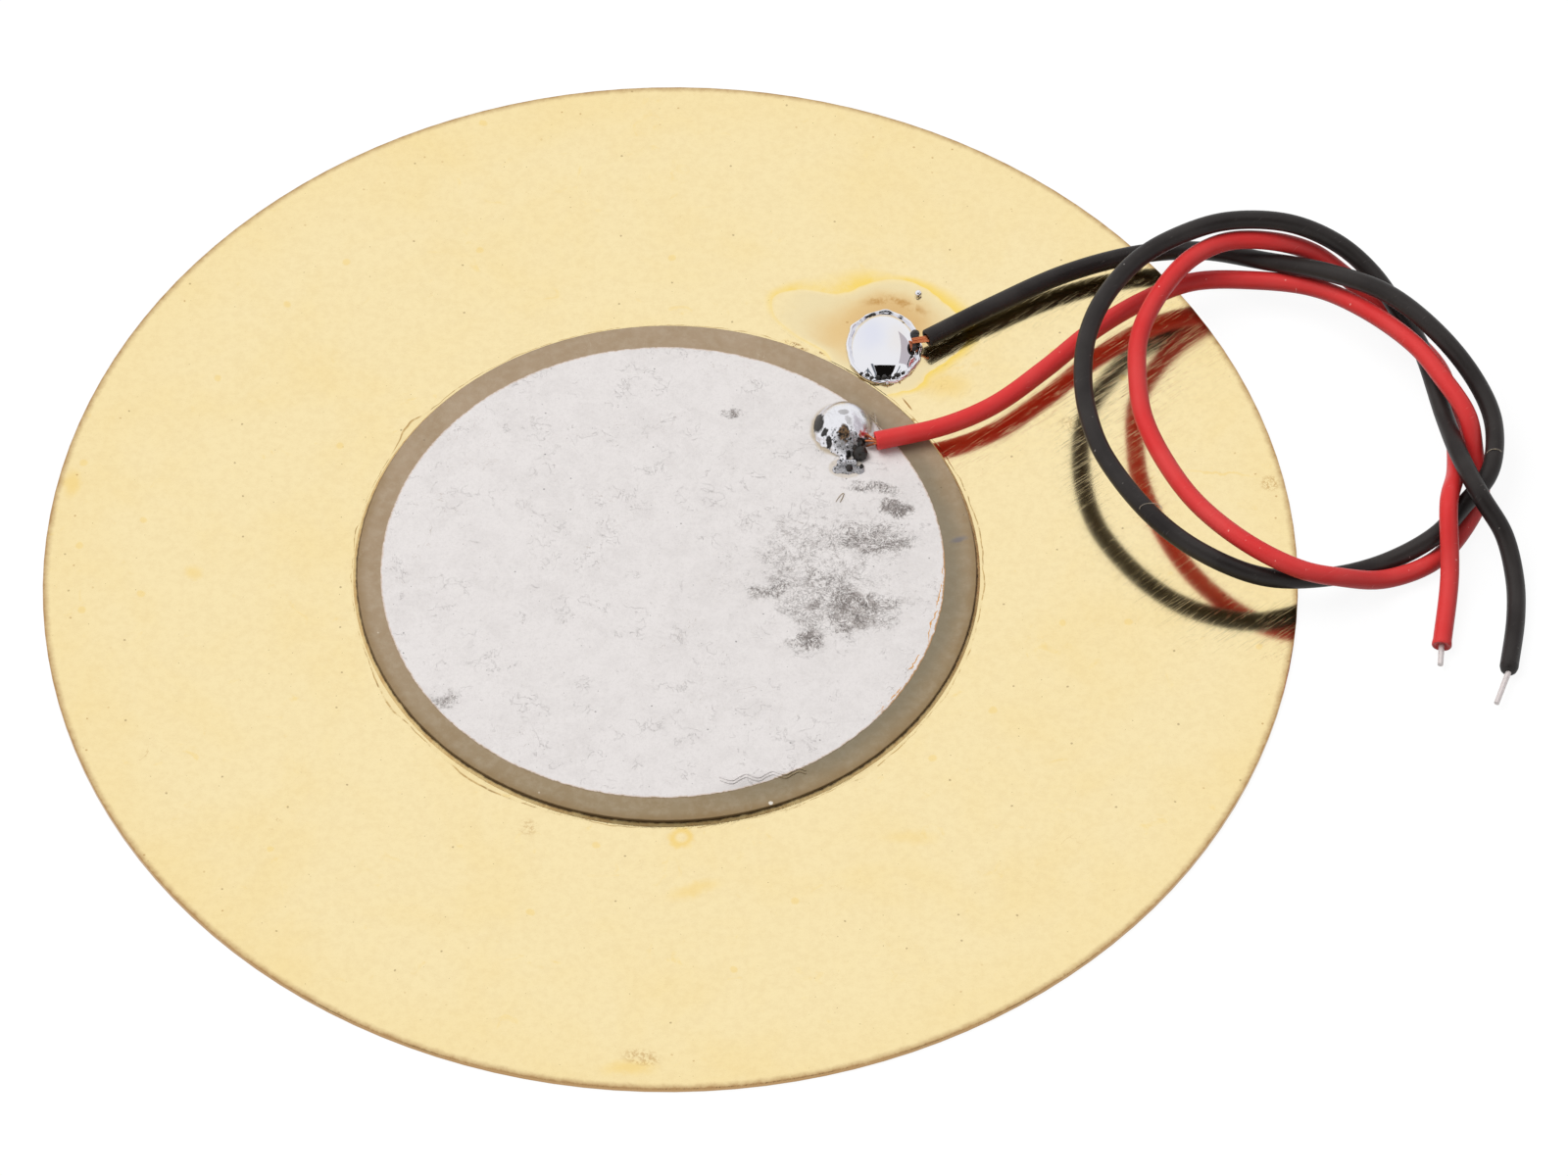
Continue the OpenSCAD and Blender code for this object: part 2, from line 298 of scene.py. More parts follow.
def turned(name, at, rings, sides):
    """A closed solid drawn up ring by ring: each is half width, half depth and height."""
    (w, d, z), *rest = rings
    deselect_all()
    bpy.ops.mesh.primitive_circle_add(
        vertices=sides, radius=1, fill_type="NGON", location=(at.x, at.y, z)
    )
    piece = named_primitive(name, (w, d, 1))
    edit(piece)
    bpy.ops.mesh.select_all(action="SELECT")
    for next_w, next_d, next_z in rest:
        bpy.ops.mesh.extrude_region_move(TRANSFORM_OT_translate={"value": (0, 0, next_z - z)})
        bpy.ops.transform.resize(
            value=(next_w / w, next_d / d, 1), center_override=(at.x, at.y, next_z)
        )
        w, d, z = next_w, next_d, next_z
    bpy.ops.mesh.poke()
    clean(piece)
    return piece


def ball(name, at, size, segments=24):
    """A rounded lump of a given size about a point."""
    deselect_all()
    bpy.ops.mesh.primitive_uv_sphere_add(
        segments=segments, ring_count=segments // 2, radius=0.5, location=at
    )
    return named_primitive(name, size)


def join(name, pieces):
    """Makes one piece of several."""
    activate(pieces[0])
    for piece in pieces:
        piece.select_set(True)
    bpy.ops.object.join()
    pieces[0].name = name
    return pieces[0]


def wear(piece, finish):
    """Gives a piece its finish and no other."""
    piece.data.materials.clear()
    piece.data.materials.append(finish)


def place(piece, finish, replaces=()):
    """Hands a finished piece over to the frame, with its finish."""
    wear(piece, finish)
    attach(piece, BODY)
    if replaces:
        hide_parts(*replaces)
    return piece


# ---------- lines and tubes ----------


def through(points, steps):
    """Points of a smooth curve that passes through each given point."""
    points = [Vector(p) for p in points]
    ends = [2 * points[0] - points[1], *points, 2 * points[-1] - points[-2]]
    line = []
    for i in range(1, len(ends) - 2):
        a, b, c, d = ends[i - 1 : i + 3]
        t1 = math.sqrt((b - a).length)
        t2 = t1 + math.sqrt((c - b).length)
        t3 = t2 + math.sqrt((d - c).length)
        for k in range(steps):
            t = t1 + (t2 - t1) * k / steps
            ab = a.lerp(b, t / t1)
            bc = b.lerp(c, (t - t1) / (t2 - t1))
            cd = c.lerp(d, (t - t2) / (t3 - t2))
            abc = ab.lerp(bc, t / t2)
            bcd = bc.lerp(cd, (t - t1) / (t3 - t1))
            line.append(abc.lerp(bcd, (t - t1) / (t2 - t1)))
    line.append(points[-1])
    return line


def directions(line):
    """Unit direction of a line at each of its points."""
    last = len(line) - 1
    return [(line[min(i + 1, last)] - line[max(i - 1, 0)]).normalized() for i in range(last + 1)]


def faces_between(rings, count):
    """Faces that join each ring of points to the next one."""
    return [
        (i * count + k, i * count + (k + 1) % count,
         (i + 1) * count + (k + 1) % count, (i + 1) * count + k)
        for i in range(rings - 1)
        for k in range(count)
    ]


def new_piece(name, corners, faces):
    """A piece of given points and faces."""
    mesh = bpy.data.meshes.new(name)
    mesh.from_pydata(corners, [], faces)
    piece = bpy.data.objects.new(name, mesh)
    bpy.context.scene.collection.objects.link(piece)
    return piece


def tube(name, rings, sides, swell=lambda around, ring: 1.0):
    """A closed tube through rings of (centre, direction, radius), carried along without twisting."""
    across = Vector((0, 0, 1)).cross(rings[0][1]).normalized()
    corners = []
    for index, (centre, direction, radius) in enumerate(rings):
        across = (across - across.dot(direction) * direction).normalized()
        above = direction.cross(across)
        for k in range(sides):
            a = 2 * math.pi * k / sides
            r = radius * swell(a, index)
            corners.append(centre + r * (math.cos(a) * across + math.sin(a) * above))
    faces = faces_between(len(rings), sides)
    faces.append(tuple(range(sides - 1, -1, -1)))
    faces.append(tuple(range(len(corners) - sides, len(corners))))
    piece = new_piece(name, corners, faces)
    clean(piece)
    shade_smooth(piece, 50)
    return piece


def even_tube(name, points, radius, sides=8, steps=6, taper=1.0):
    """A plain round tube along a smooth line, thinning evenly to its end."""
    line = through(points, steps)
    last = len(line) - 1
    rings = [
        (p, d, radius * (1 + (taper - 1) * i / last))
        for i, (p, d) in enumerate(zip(line, directions(line)))
    ]
    return tube(name, rings, sides)


# ---------- building materials ----------


def feed(tree, value, socket):
    """Feeds a socket with another socket, a #rrggbb code or a plain value."""
    if isinstance(value, bpy.types.NodeSocket):
        tree.links.new(value, socket)
    elif isinstance(value, str):
        socket.default_value = (*colour(value), 1)
    elif socket.type == "RGBA":
        socket.default_value = (*value[:3], 1)
    else:
        socket.default_value = value


def add_node(tree, kind, feeds, **settings):
    """A shader node with its settings, and what its named or numbered inputs are fed with."""
    node = tree.nodes.new("ShaderNode" + kind)
    for name, value in settings.items():
        setattr(node, name, value)
    for key, value in feeds.items():
        feed(tree, value, node.inputs[key])
    return node


class Finish:
    """A material made of nodes. Its patterns read the piece's own place, in millimetres."""

    def __init__(self, name):
        self.material = bpy.data.materials.new(name)
        self.material.use_nodes = True
        self.tree = self.material.node_tree
        self.shader = self.tree.nodes["Principled BSDF"]
        self.metres = self.node("TexCoord", {}).outputs["Object"]
        self.mm = self.vector("SCALE", self.metres, scale=1 / MM)

    def node(self, kind, feeds, **settings):
        """A node in this material."""
        return add_node(self.tree, kind, feeds, **settings)

    def vector(self, kind, a, b=(0, 0, 0), scale=1.0):
        """One sum on two vectors, or on a vector and a scale."""
        node = self.node("VectorMath", {0: a, 1: b, 3: scale}, operation=kind)
        return node.outputs["Value" if kind in ("LENGTH", "DOT_PRODUCT") else "Vector"]

    def maths(self, kind, value, *others, clamp=False):
        """A value with one sum after another done on it."""
        for other in others:
            feeds = {0: value, 1: other}
            value = self.node("Math", feeds, operation=kind, use_clamp=clamp).outputs[0]
        return value

    def times(self, *values):
        """Masks and weights that all limit each other."""
        return self.maths("MULTIPLY", *values)

    def plus(self, *values):
        """Values on top of each other."""
        return self.maths("ADD", *values)

    def either(self, *values):
        """The strongest of several masks at each place."""
        return self.maths("MAXIMUM", *values)

    def apart(self, a, b):
        """How far two values lie from each other."""
        return self.maths("ABSOLUTE", self.maths("SUBTRACT", a, b), 0.0)

    def step(self, value, low, high, to_low=0.0, to_high=1.0):
        """Eases from one value to another as the input goes from low to high."""
        feeds = {
            "Value": value, "From Min": low, "From Max": high, "To Min": to_low, "To Max": to_high,
        }
        return self.node("MapRange", feeds, interpolation_type="SMOOTHSTEP").outputs["Result"]

    def noise(self, size, detail=2.0, rough=0.5, warp=0.0, where=None, shift=0.0, out="Fac"):
        """A soft pattern with features of about one size, in millimetres."""
        where = where or self.mm
        if shift:
            where = self.vector("ADD", where, (shift, shift * 1.7, shift * 0.6))
        feeds = {
            "Vector": where, "Scale": 1 / size, "Detail": detail, "Roughness": rough,
            "Distortion": warp,
        }
        return self.node("TexNoise", feeds).outputs[out]

    def cloud(self, low, high, size, *pattern, shift=0.0):
        """Patches where a soft pattern is high: none below low, full above high."""
        return self.step(self.noise(size, *pattern, shift=shift), low, high)

    def uneven(self, value, amount, size, *pattern, shift=0.0):
        """A value made uneven by a soft pattern."""
        return self.plus(value, self.times(self.noise(size, *pattern, shift=shift), amount))

    def mapped(self, where, heading, scale, at=(0, 0, 0)):
        """Places in a frame of its own middle, heading in radians, and length of each unit."""
        feeds = {"Vector": where, "Location": at, "Rotation": (0, 0, heading), "Scale": scale}
        return self.node("Mapping", feeds, vector_type="TEXTURE").outputs["Vector"]

    def streaks(self, heading, length, spacing, *pattern, shift=0.0):
        """A soft pattern stretched into lines: their length and spacing, in millimetres."""
        where = self.mapped(self.mm, heading, (length, spacing, 1))
        return self.noise(1, *pattern, where=where, shift=shift)

    def specks(self, spacing, radius, share, shift=0.0):
        """Small ragged marks in a share of the cells of a given spacing, in millimetres."""
        moved = self.vector("ADD", self.mm, (shift, shift * 0.7, 0))
        pushed = self.vector("SCALE", self.noise(radius * 2.5, out="Color"), scale=radius)
        feeds = {"Vector": self.vector("ADD", moved, pushed), "Scale": 1 / spacing}
        cells = self.node("TexVoronoi", feeds, voronoi_dimensions="2D").outputs
        spot = self.step(cells["Distance"], radius / spacing * 0.55, radius / spacing, 1, 0)
        chance = self.node("SeparateColor", {0: cells["Color"]}).outputs[0]
        return self.times(spot, self.maths("LESS_THAN", chance, share))

    def shaken(self, size, amount, detail=3.0):
        """Places pushed about by a soft pattern, so that what is drawn on them gets uneven edges."""
        pattern = self.noise(size, detail, 0.65, out="Color")
        centred = self.vector("SUBTRACT", pattern, (0.5, 0.5, 0.5))
        return self.vector("ADD", self.mm, self.vector("SCALE", centred, scale=amount * 2))

    def creases(self, size, width, kept, shift=0.0, warp=0.6):
        """Thin wandering lines, broken off where a second pattern is low."""
        off = self.apart(self.noise(size, 4, 0.6, warp, shift=shift), 0.5)
        shown = self.cloud(kept, kept + 0.08, size * 1.3, shift=shift + 6)
        return self.times(self.step(off, 0.0, width, 1, 0), shown)

    def patch(self, x, y, half_x, half_y, turn=0, edge=0.4, where=None):
        """A mask that is 1 inside an ellipse and fades out over its edge, in mm and degrees."""
        size = (half_x, half_y, 1000)
        inside = self.mapped(where or self.mm, math.radians(turn), size, (x, y, 0))
        return self.step(self.vector("LENGTH", inside), 1 - edge, 1, 1, 0)

    def patches(self, marks, edge, where):
        """One mask of many ellipses: each is place, half sizes, turn in degrees and weight."""
        mask = 0.0
        for *ellipse, weight in marks:
            mask = self.either(mask, self.times(self.patch(*ellipse, edge, where), weight))
        return mask

    def attribute(self, name):
        """A number that the piece's mesh carries at each point."""
        return self.node("Attribute", {}, attribute_name=name).outputs["Fac"]

    def along(self, x, y):
        """Distance in one direction over the disc, in millimetres."""
        return self.vector("DOT_PRODUCT", self.mm, (x, y, 0))

    def from_middle(self, at):
        """Distance from a point in the plane of the disc, in millimetres."""
        away = self.vector("SUBTRACT", self.mm, (at.x / MM, at.y / MM, 0))
        return self.vector("LENGTH", self.vector("MULTIPLY", away, (1, 1, 0)))

    def blend(self, amount, a, b):
        """One colour over another."""
        return self.node("Mix", {0: amount, 6: a, 7: b}, data_type="RGBA").outputs[2]

    def coats(self, base, *coats):
        """Coats over a base colour, in order: each is a mask, its weight and a colour."""
        for mask, weight, shade in coats:
            base = self.blend(mask if weight == 1 else self.times(mask, weight), base, shade)
        return base

    def bump(self, height, depth, below=None):
        """Surface relief of a given depth, in millimetres."""
        feeds = {"Distance": depth * MM, "Height": height}
        if below is not None:
            feeds["Normal"] = below
        return self.node("Bump", feeds).outputs["Normal"]

    def set(self, **sockets):
        """Sets the shader's own sockets and returns the material."""
        for name, value in sockets.items():
            feed(self.tree, value, self.shader.inputs[name.replace("_", " ")])
        return self.material

    def show(self, shader):
        """Shows another shader in place of the usual one."""
        feed(self.tree, shader, self.tree.nodes["Material Output"].inputs["Surface"])


# ---------- materials ----------


# Yellow hazes on the brass, in millimetres: place, half sizes, turn in degrees, weight
HAZES = (
    (-19.0, 0.0, 0.5, 0.5, 0, 0.5), (-24.0, 4.5, 0.5, 1.0, 0, 0.6), (-1.5, -24.0, 1.5, 0.5, 0, 0.6),
    (9.5, -13.0, 1.5, 0.5, 0, 0.3), (1.0, -15.5, 1.5, 0.5, 20, 0.5), (22.0, 5.0, 2.0, 0.1, -5, 0.5),
    (11.0, 9.5, 1.5, 1.0, 0, 0.6),
)

# Brown stains and nicks on the brass, in the same form
STAINS = (
    (-1.0, -23.5, 1.0, 0.5, -10, 0.6), (24.0, 4.5, 0.5, 0.5, 30, 0.7), (-5.5, -12.5, 0.5, 0.5, 40, 0.5),
    (16.0, 7.5, 0.5, 0.5, 0, 0.4), (5.0, 11.5, 0.7, 0.2, -25, 1.0), (6.0, 11.1, 0.3, 0.1, -30, 1.0),
)
NICKS = ((9.5, 8.5, 0.45, 0.05, -58, 0.9), (9.7, 7.7, 0.14, 0.10, 0, 0.7))
LOOP_MARK_AT = Vector((0.5, -13.0, 0)) * MM


def polished(f, base):
    """Rolled brass with fine lines and a few deeper hairlines, which the skins on it share."""
    heading = bpy.context.scene.piezo_plate.brush_angle
    hair = f.step(f.streaks(heading, 1.3, 0.03, 2, 0.5, shift=5), 0.58, 0.72)
    fine = f.streaks(heading, 2.4, 0.05, 3, 0.6)
    return f.set(
        Base_Color=base, Metallic=1.0, Roughness=f.step(hair, 0.0, 1.0, 0.12, 0.20),
        Normal=f.bump(f.plus(fine, hair), 0.0013),
    )


def brass_colour(f):
    """Bright brass with tarnish, specks and stains."""
    look = bpy.context.scene.piezo_plate
    soft = f.shaken(0.7, 0.3, 4)
    loop = f.times(
        f.step(f.from_middle(LOOP_MARK_AT), 0.12, 0.34),
        f.patch(*LOOP_MARK_AT.xy / MM, 0.6, 0.6, 0, 0.5, soft),
    )
    crumbs = f.cloud(0.44, 0.58, 0.16, 4, 0.7, 0.5, shift=14)
    stains = f.times(f.patches(STAINS, 0.6, f.shaken(0.16, 0.05)), crumbs)
    return f.coats(
        look.brass,
        (f.cloud(0.42, 0.75, 6, 5, 0.62, 0.4), 0.20, look.tarnish),
        (f.cloud(0.35, 0.7, 0.3, 4, 0.7), 0.09, look.stain),
        (f.cloud(0.62, 0.76, 1.2, 5, 0.65, 1.0, shift=11), 0.40, look.tarnish),
        (f.patches(HAZES, 0.85, soft), 1, look.tarnish),
        (loop, 0.8, look.tarnish),
        (stains, 0.85, look.stain),
        (f.step(stains, 0.75, 1.0, 0, 0.7), 1, look.speck),
        (f.patches(NICKS, 0.5, f.shaken(0.3, 0.03)), 1, "#a5773c"),
        (f.either(f.specks(2.2, 0.06, 0.26), f.specks(0.9, 0.03, 0.07, 33)), 0.45, look.speck),
        (f.specks(0.5, 0.022, 0.04, 41), 0.4, look.speck),
        (f.specks(2.6, 0.20, 0.12, 21), 0.45, look.tarnish),
        (f.creases(3.0, 0.0012, 0.60, 51), 0.35, look.stain),
    )


def brass_finish():
    """Bright rolled brass with a browned rim."""
    look = bpy.context.scene.piezo_plate
    f = Finish("rolled_brass")
    out = f.from_middle(Vector((0, 0, 0)))
    rim = PLATE_R / MM
    near_rim = f.step(out, rim - 3.5, rim - 0.2)
    ragged = f.uneven(out, 0.26, 0.35, 5, 0.7)
    return polished(f, f.coats(
        brass_colour(f),
        (near_rim, 0.12, look.tarnish),
        (f.times(f.specks(0.8, 0.06, 0.10, 7), near_rim), 0.6, look.stain),
        (f.step(ragged, rim - 0.20, rim + 0.12), 0.72, look.cut_edge),
        (f.step(ragged, rim + 0.04, rim + 0.12), 0.8, look.cut_edge),
    ))


def glue_finish():
    """Glue at the foot of the ceramic, dark where the near side shades it."""
    look = bpy.context.scene.piezo_plate
    f = Finish("glue_at_foot")
    rim = ELEMENT_R / MM
    near = f.step(f.along(-0.1, -1), -4.5, -2.5)
    ragged = f.uneven(f.from_middle(ELEMENT_AT), 0.12, 0.4, 4, 0.7)
    base = f.coats(
        look.glue,
        (f.cloud(0.35, 0.7, 0.5, 4, 0.6), 0.6, look.stain),
        (f.times(near, f.step(ragged, rim + 0.06, rim + 0.14, 1, 0)), 1, look.glue_in_painted_shade),
    )
    return f.set(Base_Color=base, Metallic=0.6, Roughness=0.3, Normal=f.bump(f.noise(0.3, 3), 0.02))


def glue_skin_finish():
    """Clear glue that ran out over the brass; only its broken brown rim shows."""
    f = Finish("glue_skin")
    rim = f.attribute("rim")
    inside = f.step(rim, 0.90, 1.0, 1, 0)
    line = f.times(f.step(rim, 0.66, 0.84), inside, f.cloud(0.42, 0.56, 0.9, 6, 0.72, shift=2))
    brown = f.blend(f.cloud(0.4, 0.7, 0.6, 4, 0.6), "#c09a5c", "#96703a")
    clear = (inside, 0.10, bpy.context.scene.piezo_plate.glue)
    return polished(f, f.coats(brass_colour(f), clear, (line, 0.8, brown)))


def bare_ceramic(f):
    """Plain ceramic, greyer on its near side."""
    look = bpy.context.scene.piezo_plate
    return f.blend(f.step(f.along(0.45, -1), -11, 13), look.ceramic, look.ceramic_near)


def matte(f, base, relief):
    """The dull surface that the ceramic and the silver share."""
    return f.set(Base_Color=base, Roughness=0.5, Specular_IOR_Level=0.3, Normal=relief)


def ceramic_finish():
    """Grey-brown ceramic, greyer inside and browner outside, with painted shade darkening its near
    edge.
    """
    look = bpy.context.scene.piezo_plate
    f = Finish("fired_ceramic")
    out = f.from_middle(ELEMENT_AT)
    rim = ELEMENT_R / MM
    front = f.step(f.along(-0.1, -1), -6.0, -2.0)
    right = f.step(f.along(1.0, -0.25), 1, 10)
    grey = f.step(f.uneven(out, 0.6, 1.5, 3), rim - 0.8, rim + 0.1, 1, 0)
    browned = f.step(f.uneven(out, 0.4, 0.9, 4), rim - 0.25, rim + 0.22)
    line = f.step(f.uneven(out, 0.05, 0.6, 3), rim - 0.03, rim + 0.02)
    close = f.shaken(0.25, 0.08)
    base = f.coats(
        bare_ceramic(f),
        (f.cloud(0.35, 0.7, 1.6, 5, 0.65, 0.5), 0.28, look.ceramic_rim),
        (f.cloud(0.42, 0.66, 0.35, 5, 0.7), 0.16, "#c4b8a4"),
        (f.times(grey, right), 0.55, "#706c5c"),
        (f.times(browned, front), 0.6, look.ceramic_rim),
        # Painted shade: the dark rim line is faint all round and much darker on the near side, where it
        # stands for the ceramic's shaded wall
        (f.times(line, f.plus(0.12, f.times(front, 0.60))), 1, "#4c3718"),
        (f.specks(0.9, 0.045, 0.06), 0.5, "#5f523c"),
        (f.specks(1.3, 0.05, 0.04, 9), 0.6, "#d5cbb8"),
        (f.creases(2.2, 0.002, 0.56, 17), 0.3, "#d8cfbd"),
        (f.patch(11.5, 1.5, 0.5, 0.2, 20, 0.8, close), 0.7, "#6d6a70"),
        (f.patch(4.0, -11.5, 0.1, 0.1, 0, 0.3, close), 1, "#ddd5c9"),
    )
    return matte(f, base, f.bump(f.noise(0.12, 3), 0.004))


# Rubbed areas of the silver, in millimetres: place, half sizes, turn in degrees, weight
SMUDGES = (
    (8.0, 4.0, 2.0, 0.5, -10, 0.7), (9.0, 3.0, 1.0, 0.7, -25, 1.0), (8.0, 1.5, 3.0, 1.5, 0, 0.7),
    (7.5, -2.0, 2.5, 2.0, -10, 0.85), (4.0, -1.0, 1.5, 0.7, 10, 0.7), (5.5, -3.5, 1.5, 0.8, 10, 0.8),
    (6.5, -1.5, 4.0, 3.5, 0, 0.6), (6.0, 0.5, 5.5, 5.0, 0, 0.4),
    (2.5, 8.0, 1.0, 0.3, 10, 0.6), (-9.0, -6.5, 1.0, 0.7, 30, 0.55),
)


def silver_finish():
    """Matte fired silver with mottling, rubbed marks and pits."""
    look = bpy.context.scene.piezo_plate
    f = Finish("fired_silver")
    dense = f.patches(SMUDGES, 0.9, f.shaken(1.2, 0.9, 5))
    coarse = f.noise(0.8, 5, 0.7, 0.6, shift=3)
    fine = f.noise(0.20, 7, 0.80, 1.8, shift=8)
    level = f.plus(f.times(fine, 0.55), f.times(coarse, 0.45), f.times(dense, 0.25))
    spread = f.step(f.plus(dense, f.times(coarse, 0.8)), 0.5, 1.1)
    curls = f.either(f.creases(1.1, 0.030, 0.36, 31, 2.6), f.creases(0.6, 0.035, 0.42, 43, 2.2))
    pale_curls = f.creases(0.8, 0.030, 0.36, 61, 2.6)
    wrinkles = f.creases(0.9, 0.006, 0.52, 23)
    x, y = PRINT_JOINT_AT.xy / MM
    round_joint = ((x - 0.08, y - 0.08, 1.34, 1.46, 0, 0.75), (x + 0.1, y - 2.0, 0.75, 0.55, 0, 0.4))
    base = f.coats(
        look.silver,
        (f.cloud(0.40, 0.66, 1.1, 7, 0.75, 0.3), 0.10, look.smudge),
        (f.cloud(0.46, 0.70, 0.14, 5, 0.75, 0.6), 0.12, look.smudge),
        (f.step(level, 0.57, 0.73), 0.75, look.smudge),
        (f.step(level, 0.65, 0.80), 0.55, "#5b524e"),
        (f.times(curls, spread), 0.85, "#5c5653"),
        (f.times(pale_curls, spread), 0.85, "#efebe9"),
        (wrinkles, 0.30, look.smudge),
        (f.creases(2.6, 0.0018, 0.50, 29), 0.40, "#8c7560"),
        (f.either(f.specks(0.34, 0.024, 0.04, 12), f.specks(1.1, 0.045, 0.07, 4)), 0.6, "#4f4a48"),
        (f.patches(round_joint, 0.14, f.shaken(0.5, 0.08)), 1, "#b8a585"),
        # Painted shadow: a soft grey patch round the raised ridge near the silver's front edge
        (f.patch(3.5, -10.5, 2.0, 0.5, 10, 0.8, f.shaken(0.6, 0.2)), 0.30, "#8c8581"),
    )
    relief = f.bump(f.noise(0.15, 6, 0.7), 0.018)
    return matte(f, printed_edge(f, base), f.bump(f.times(wrinkles, -1.0), 0.01, relief))


def printed_edge(f, base):
    """Ragged edge of the print, with the orange line that shows where it has cracked."""
    out = f.from_middle(PRINT_AT)
    rim = PRINT_R / MM
    ragged = f.uneven(out, 0.24, 0.3, 6, 0.75, 0.5)
    right = f.patch(10.2, -3.0, 1.8, 6.0, -16)
    orange = f.times(f.step(ragged, rim + 0.03, rim + 0.09), f.plus(0.35, f.times(right, 0.6)))
    off = f.apart(f.uneven(out, 0.8, 1.1, 4, 0.6, shift=37), rim + 0.22)
    split = f.times(f.step(off, 0.01, 0.032, 1, 0), f.cloud(0.48, 0.52, 1.0, 3, 0.6, shift=39))
    shadow = f.times(f.creases(0.9, 0.010, 0.50, 47), f.step(out, rim - 0.9, rim - 0.3))
    return f.coats(
        base,
        (orange, 1, "#b98750"),
        (f.times(split, right), 1, "#d29a55"),
        (f.times(shadow, right), 0.6, "#7c736c"),
        (f.step(ragged, rim + 0.09, rim + 0.13), 1, bare_ceramic(f)),
    )


def solder_finish():
    """Bright solder, with painted reflections: a faint cool tint on the dome's left and a warm one on
    its right.
    """
    f = Finish("bright_solder")
    soft = f.shaken(0.8, 0.25, 2)
    base = f.coats(
        bpy.context.scene.piezo_solder.solder,
        # Painted reflections: a cool tint on the left of the plate's dome and a warm one on its right
        (f.patch(8.05, 11.7, 0.95, 1.3, 10, 0.9, soft), 0.55, "#d9dcee"),
        (f.patch(9.1, 11.4, 0.6, 1.3, 0, 0.9, soft), 0.6, "#e9e4e1"),
    )
    return f.set(Base_Color=base, Metallic=1.0, Roughness=0.05, Normal=f.bump(f.noise(0.7, 2), 0.003))


# Burnt marks on the electrode's joint, from its middle: place, half sizes, turn, weight
SCORCHES = (
    (-1.05, 0.1, 0.25, 0.6, 10, 1), (-0.75, -0.55, 0.15, 0.15, 20, 1), (-0.6, -0.9, 0.1, 0.2, 20, 1),
    (0.7, -0.9, 0.2, 0.15, 30, 1), (0.2, -1.5, 0.1, 0.2, 0, 1),
)


def pitted_solder_finish():
    """Overheated solder: a bright cap, grey skin and dark pits lower down."""
    look = bpy.context.scene.piezo_solder
    f = Finish("pitted_solder")
    x, y = PRINT_JOINT_AT.xy / MM
    close = f.shaken(0.2, 0.10, 4)
    smudge = f.patch(x, y + 0.2, 0.25, 0.15, 0, 0.3, close)
    streak = f.patch(x + 0.2, y - 0.2, 0.15, 0.3, 20, 0.6, close)
    crystal = f.patch(x + 0.3, y - 1.1, 0.8, 0.5, -10, 0.5, close)
    puddle = f.patch(x + 0.2, y - 2.15, 1.0, 0.45, 0, 0.4, close)
    speckled = f.times(f.cloud(0.38, 0.60, 0.13, 6, 0.75, 0.6), 0.85)
    dull = f.times(f.either(crystal, f.times(puddle, 0.7)), speckled)
    grey = f.either(f.times(f.either(smudge, f.times(streak, 0.8)), 0.55), dull)
    pit = f.patch(x, y - 0.7, 0.27, 0.33, -10, 0.25, f.shaken(0.28, 0.26, 4))
    marks = [(x + across, y + up, *rest) for across, up, *rest in SCORCHES]
    burnt = f.patches(marks, 0.2, f.shaken(0.18, 0.14, 5))
    pocks = f.either(f.specks(0.2, 0.05, 0.42), f.specks(0.11, 0.028, 0.40, 5))
    burnt = f.either(burnt, f.times(pocks, f.patch(x, y - 1.5, 1.2, 1.2, 0, 0.3)))
    base = f.coats(
        look.solder,
        (f.cloud(0.45, 0.7, 0.35, 5, 0.7, 0.8), 0.16, "#8f8b88"),
        (grey, 1, "#77726d"),
        (pit, 1, f.blend(f.cloud(0.42, 0.58, 0.10, 4, 0.7), "#7a5c3c", look.char)),
        (burnt, 1, f.blend(f.cloud(0.58, 0.68, 0.08, 4, 0.8, 1.5), look.char, "#7d7873")),
    )
    dark = f.either(burnt, pit, f.times(grey, 0.8))
    metal = f.maths("SUBTRACT", 1.0, dark, clamp=True)
    relief = f.bump(metal, 0.05, f.bump(f.noise(0.12, 4, 0.6), 0.012))
    rough = f.step(dark, 0.0, 0.6, 0.16, 0.4)
    return f.set(Base_Color=base, Metallic=metal, Roughness=rough, Normal=relief)


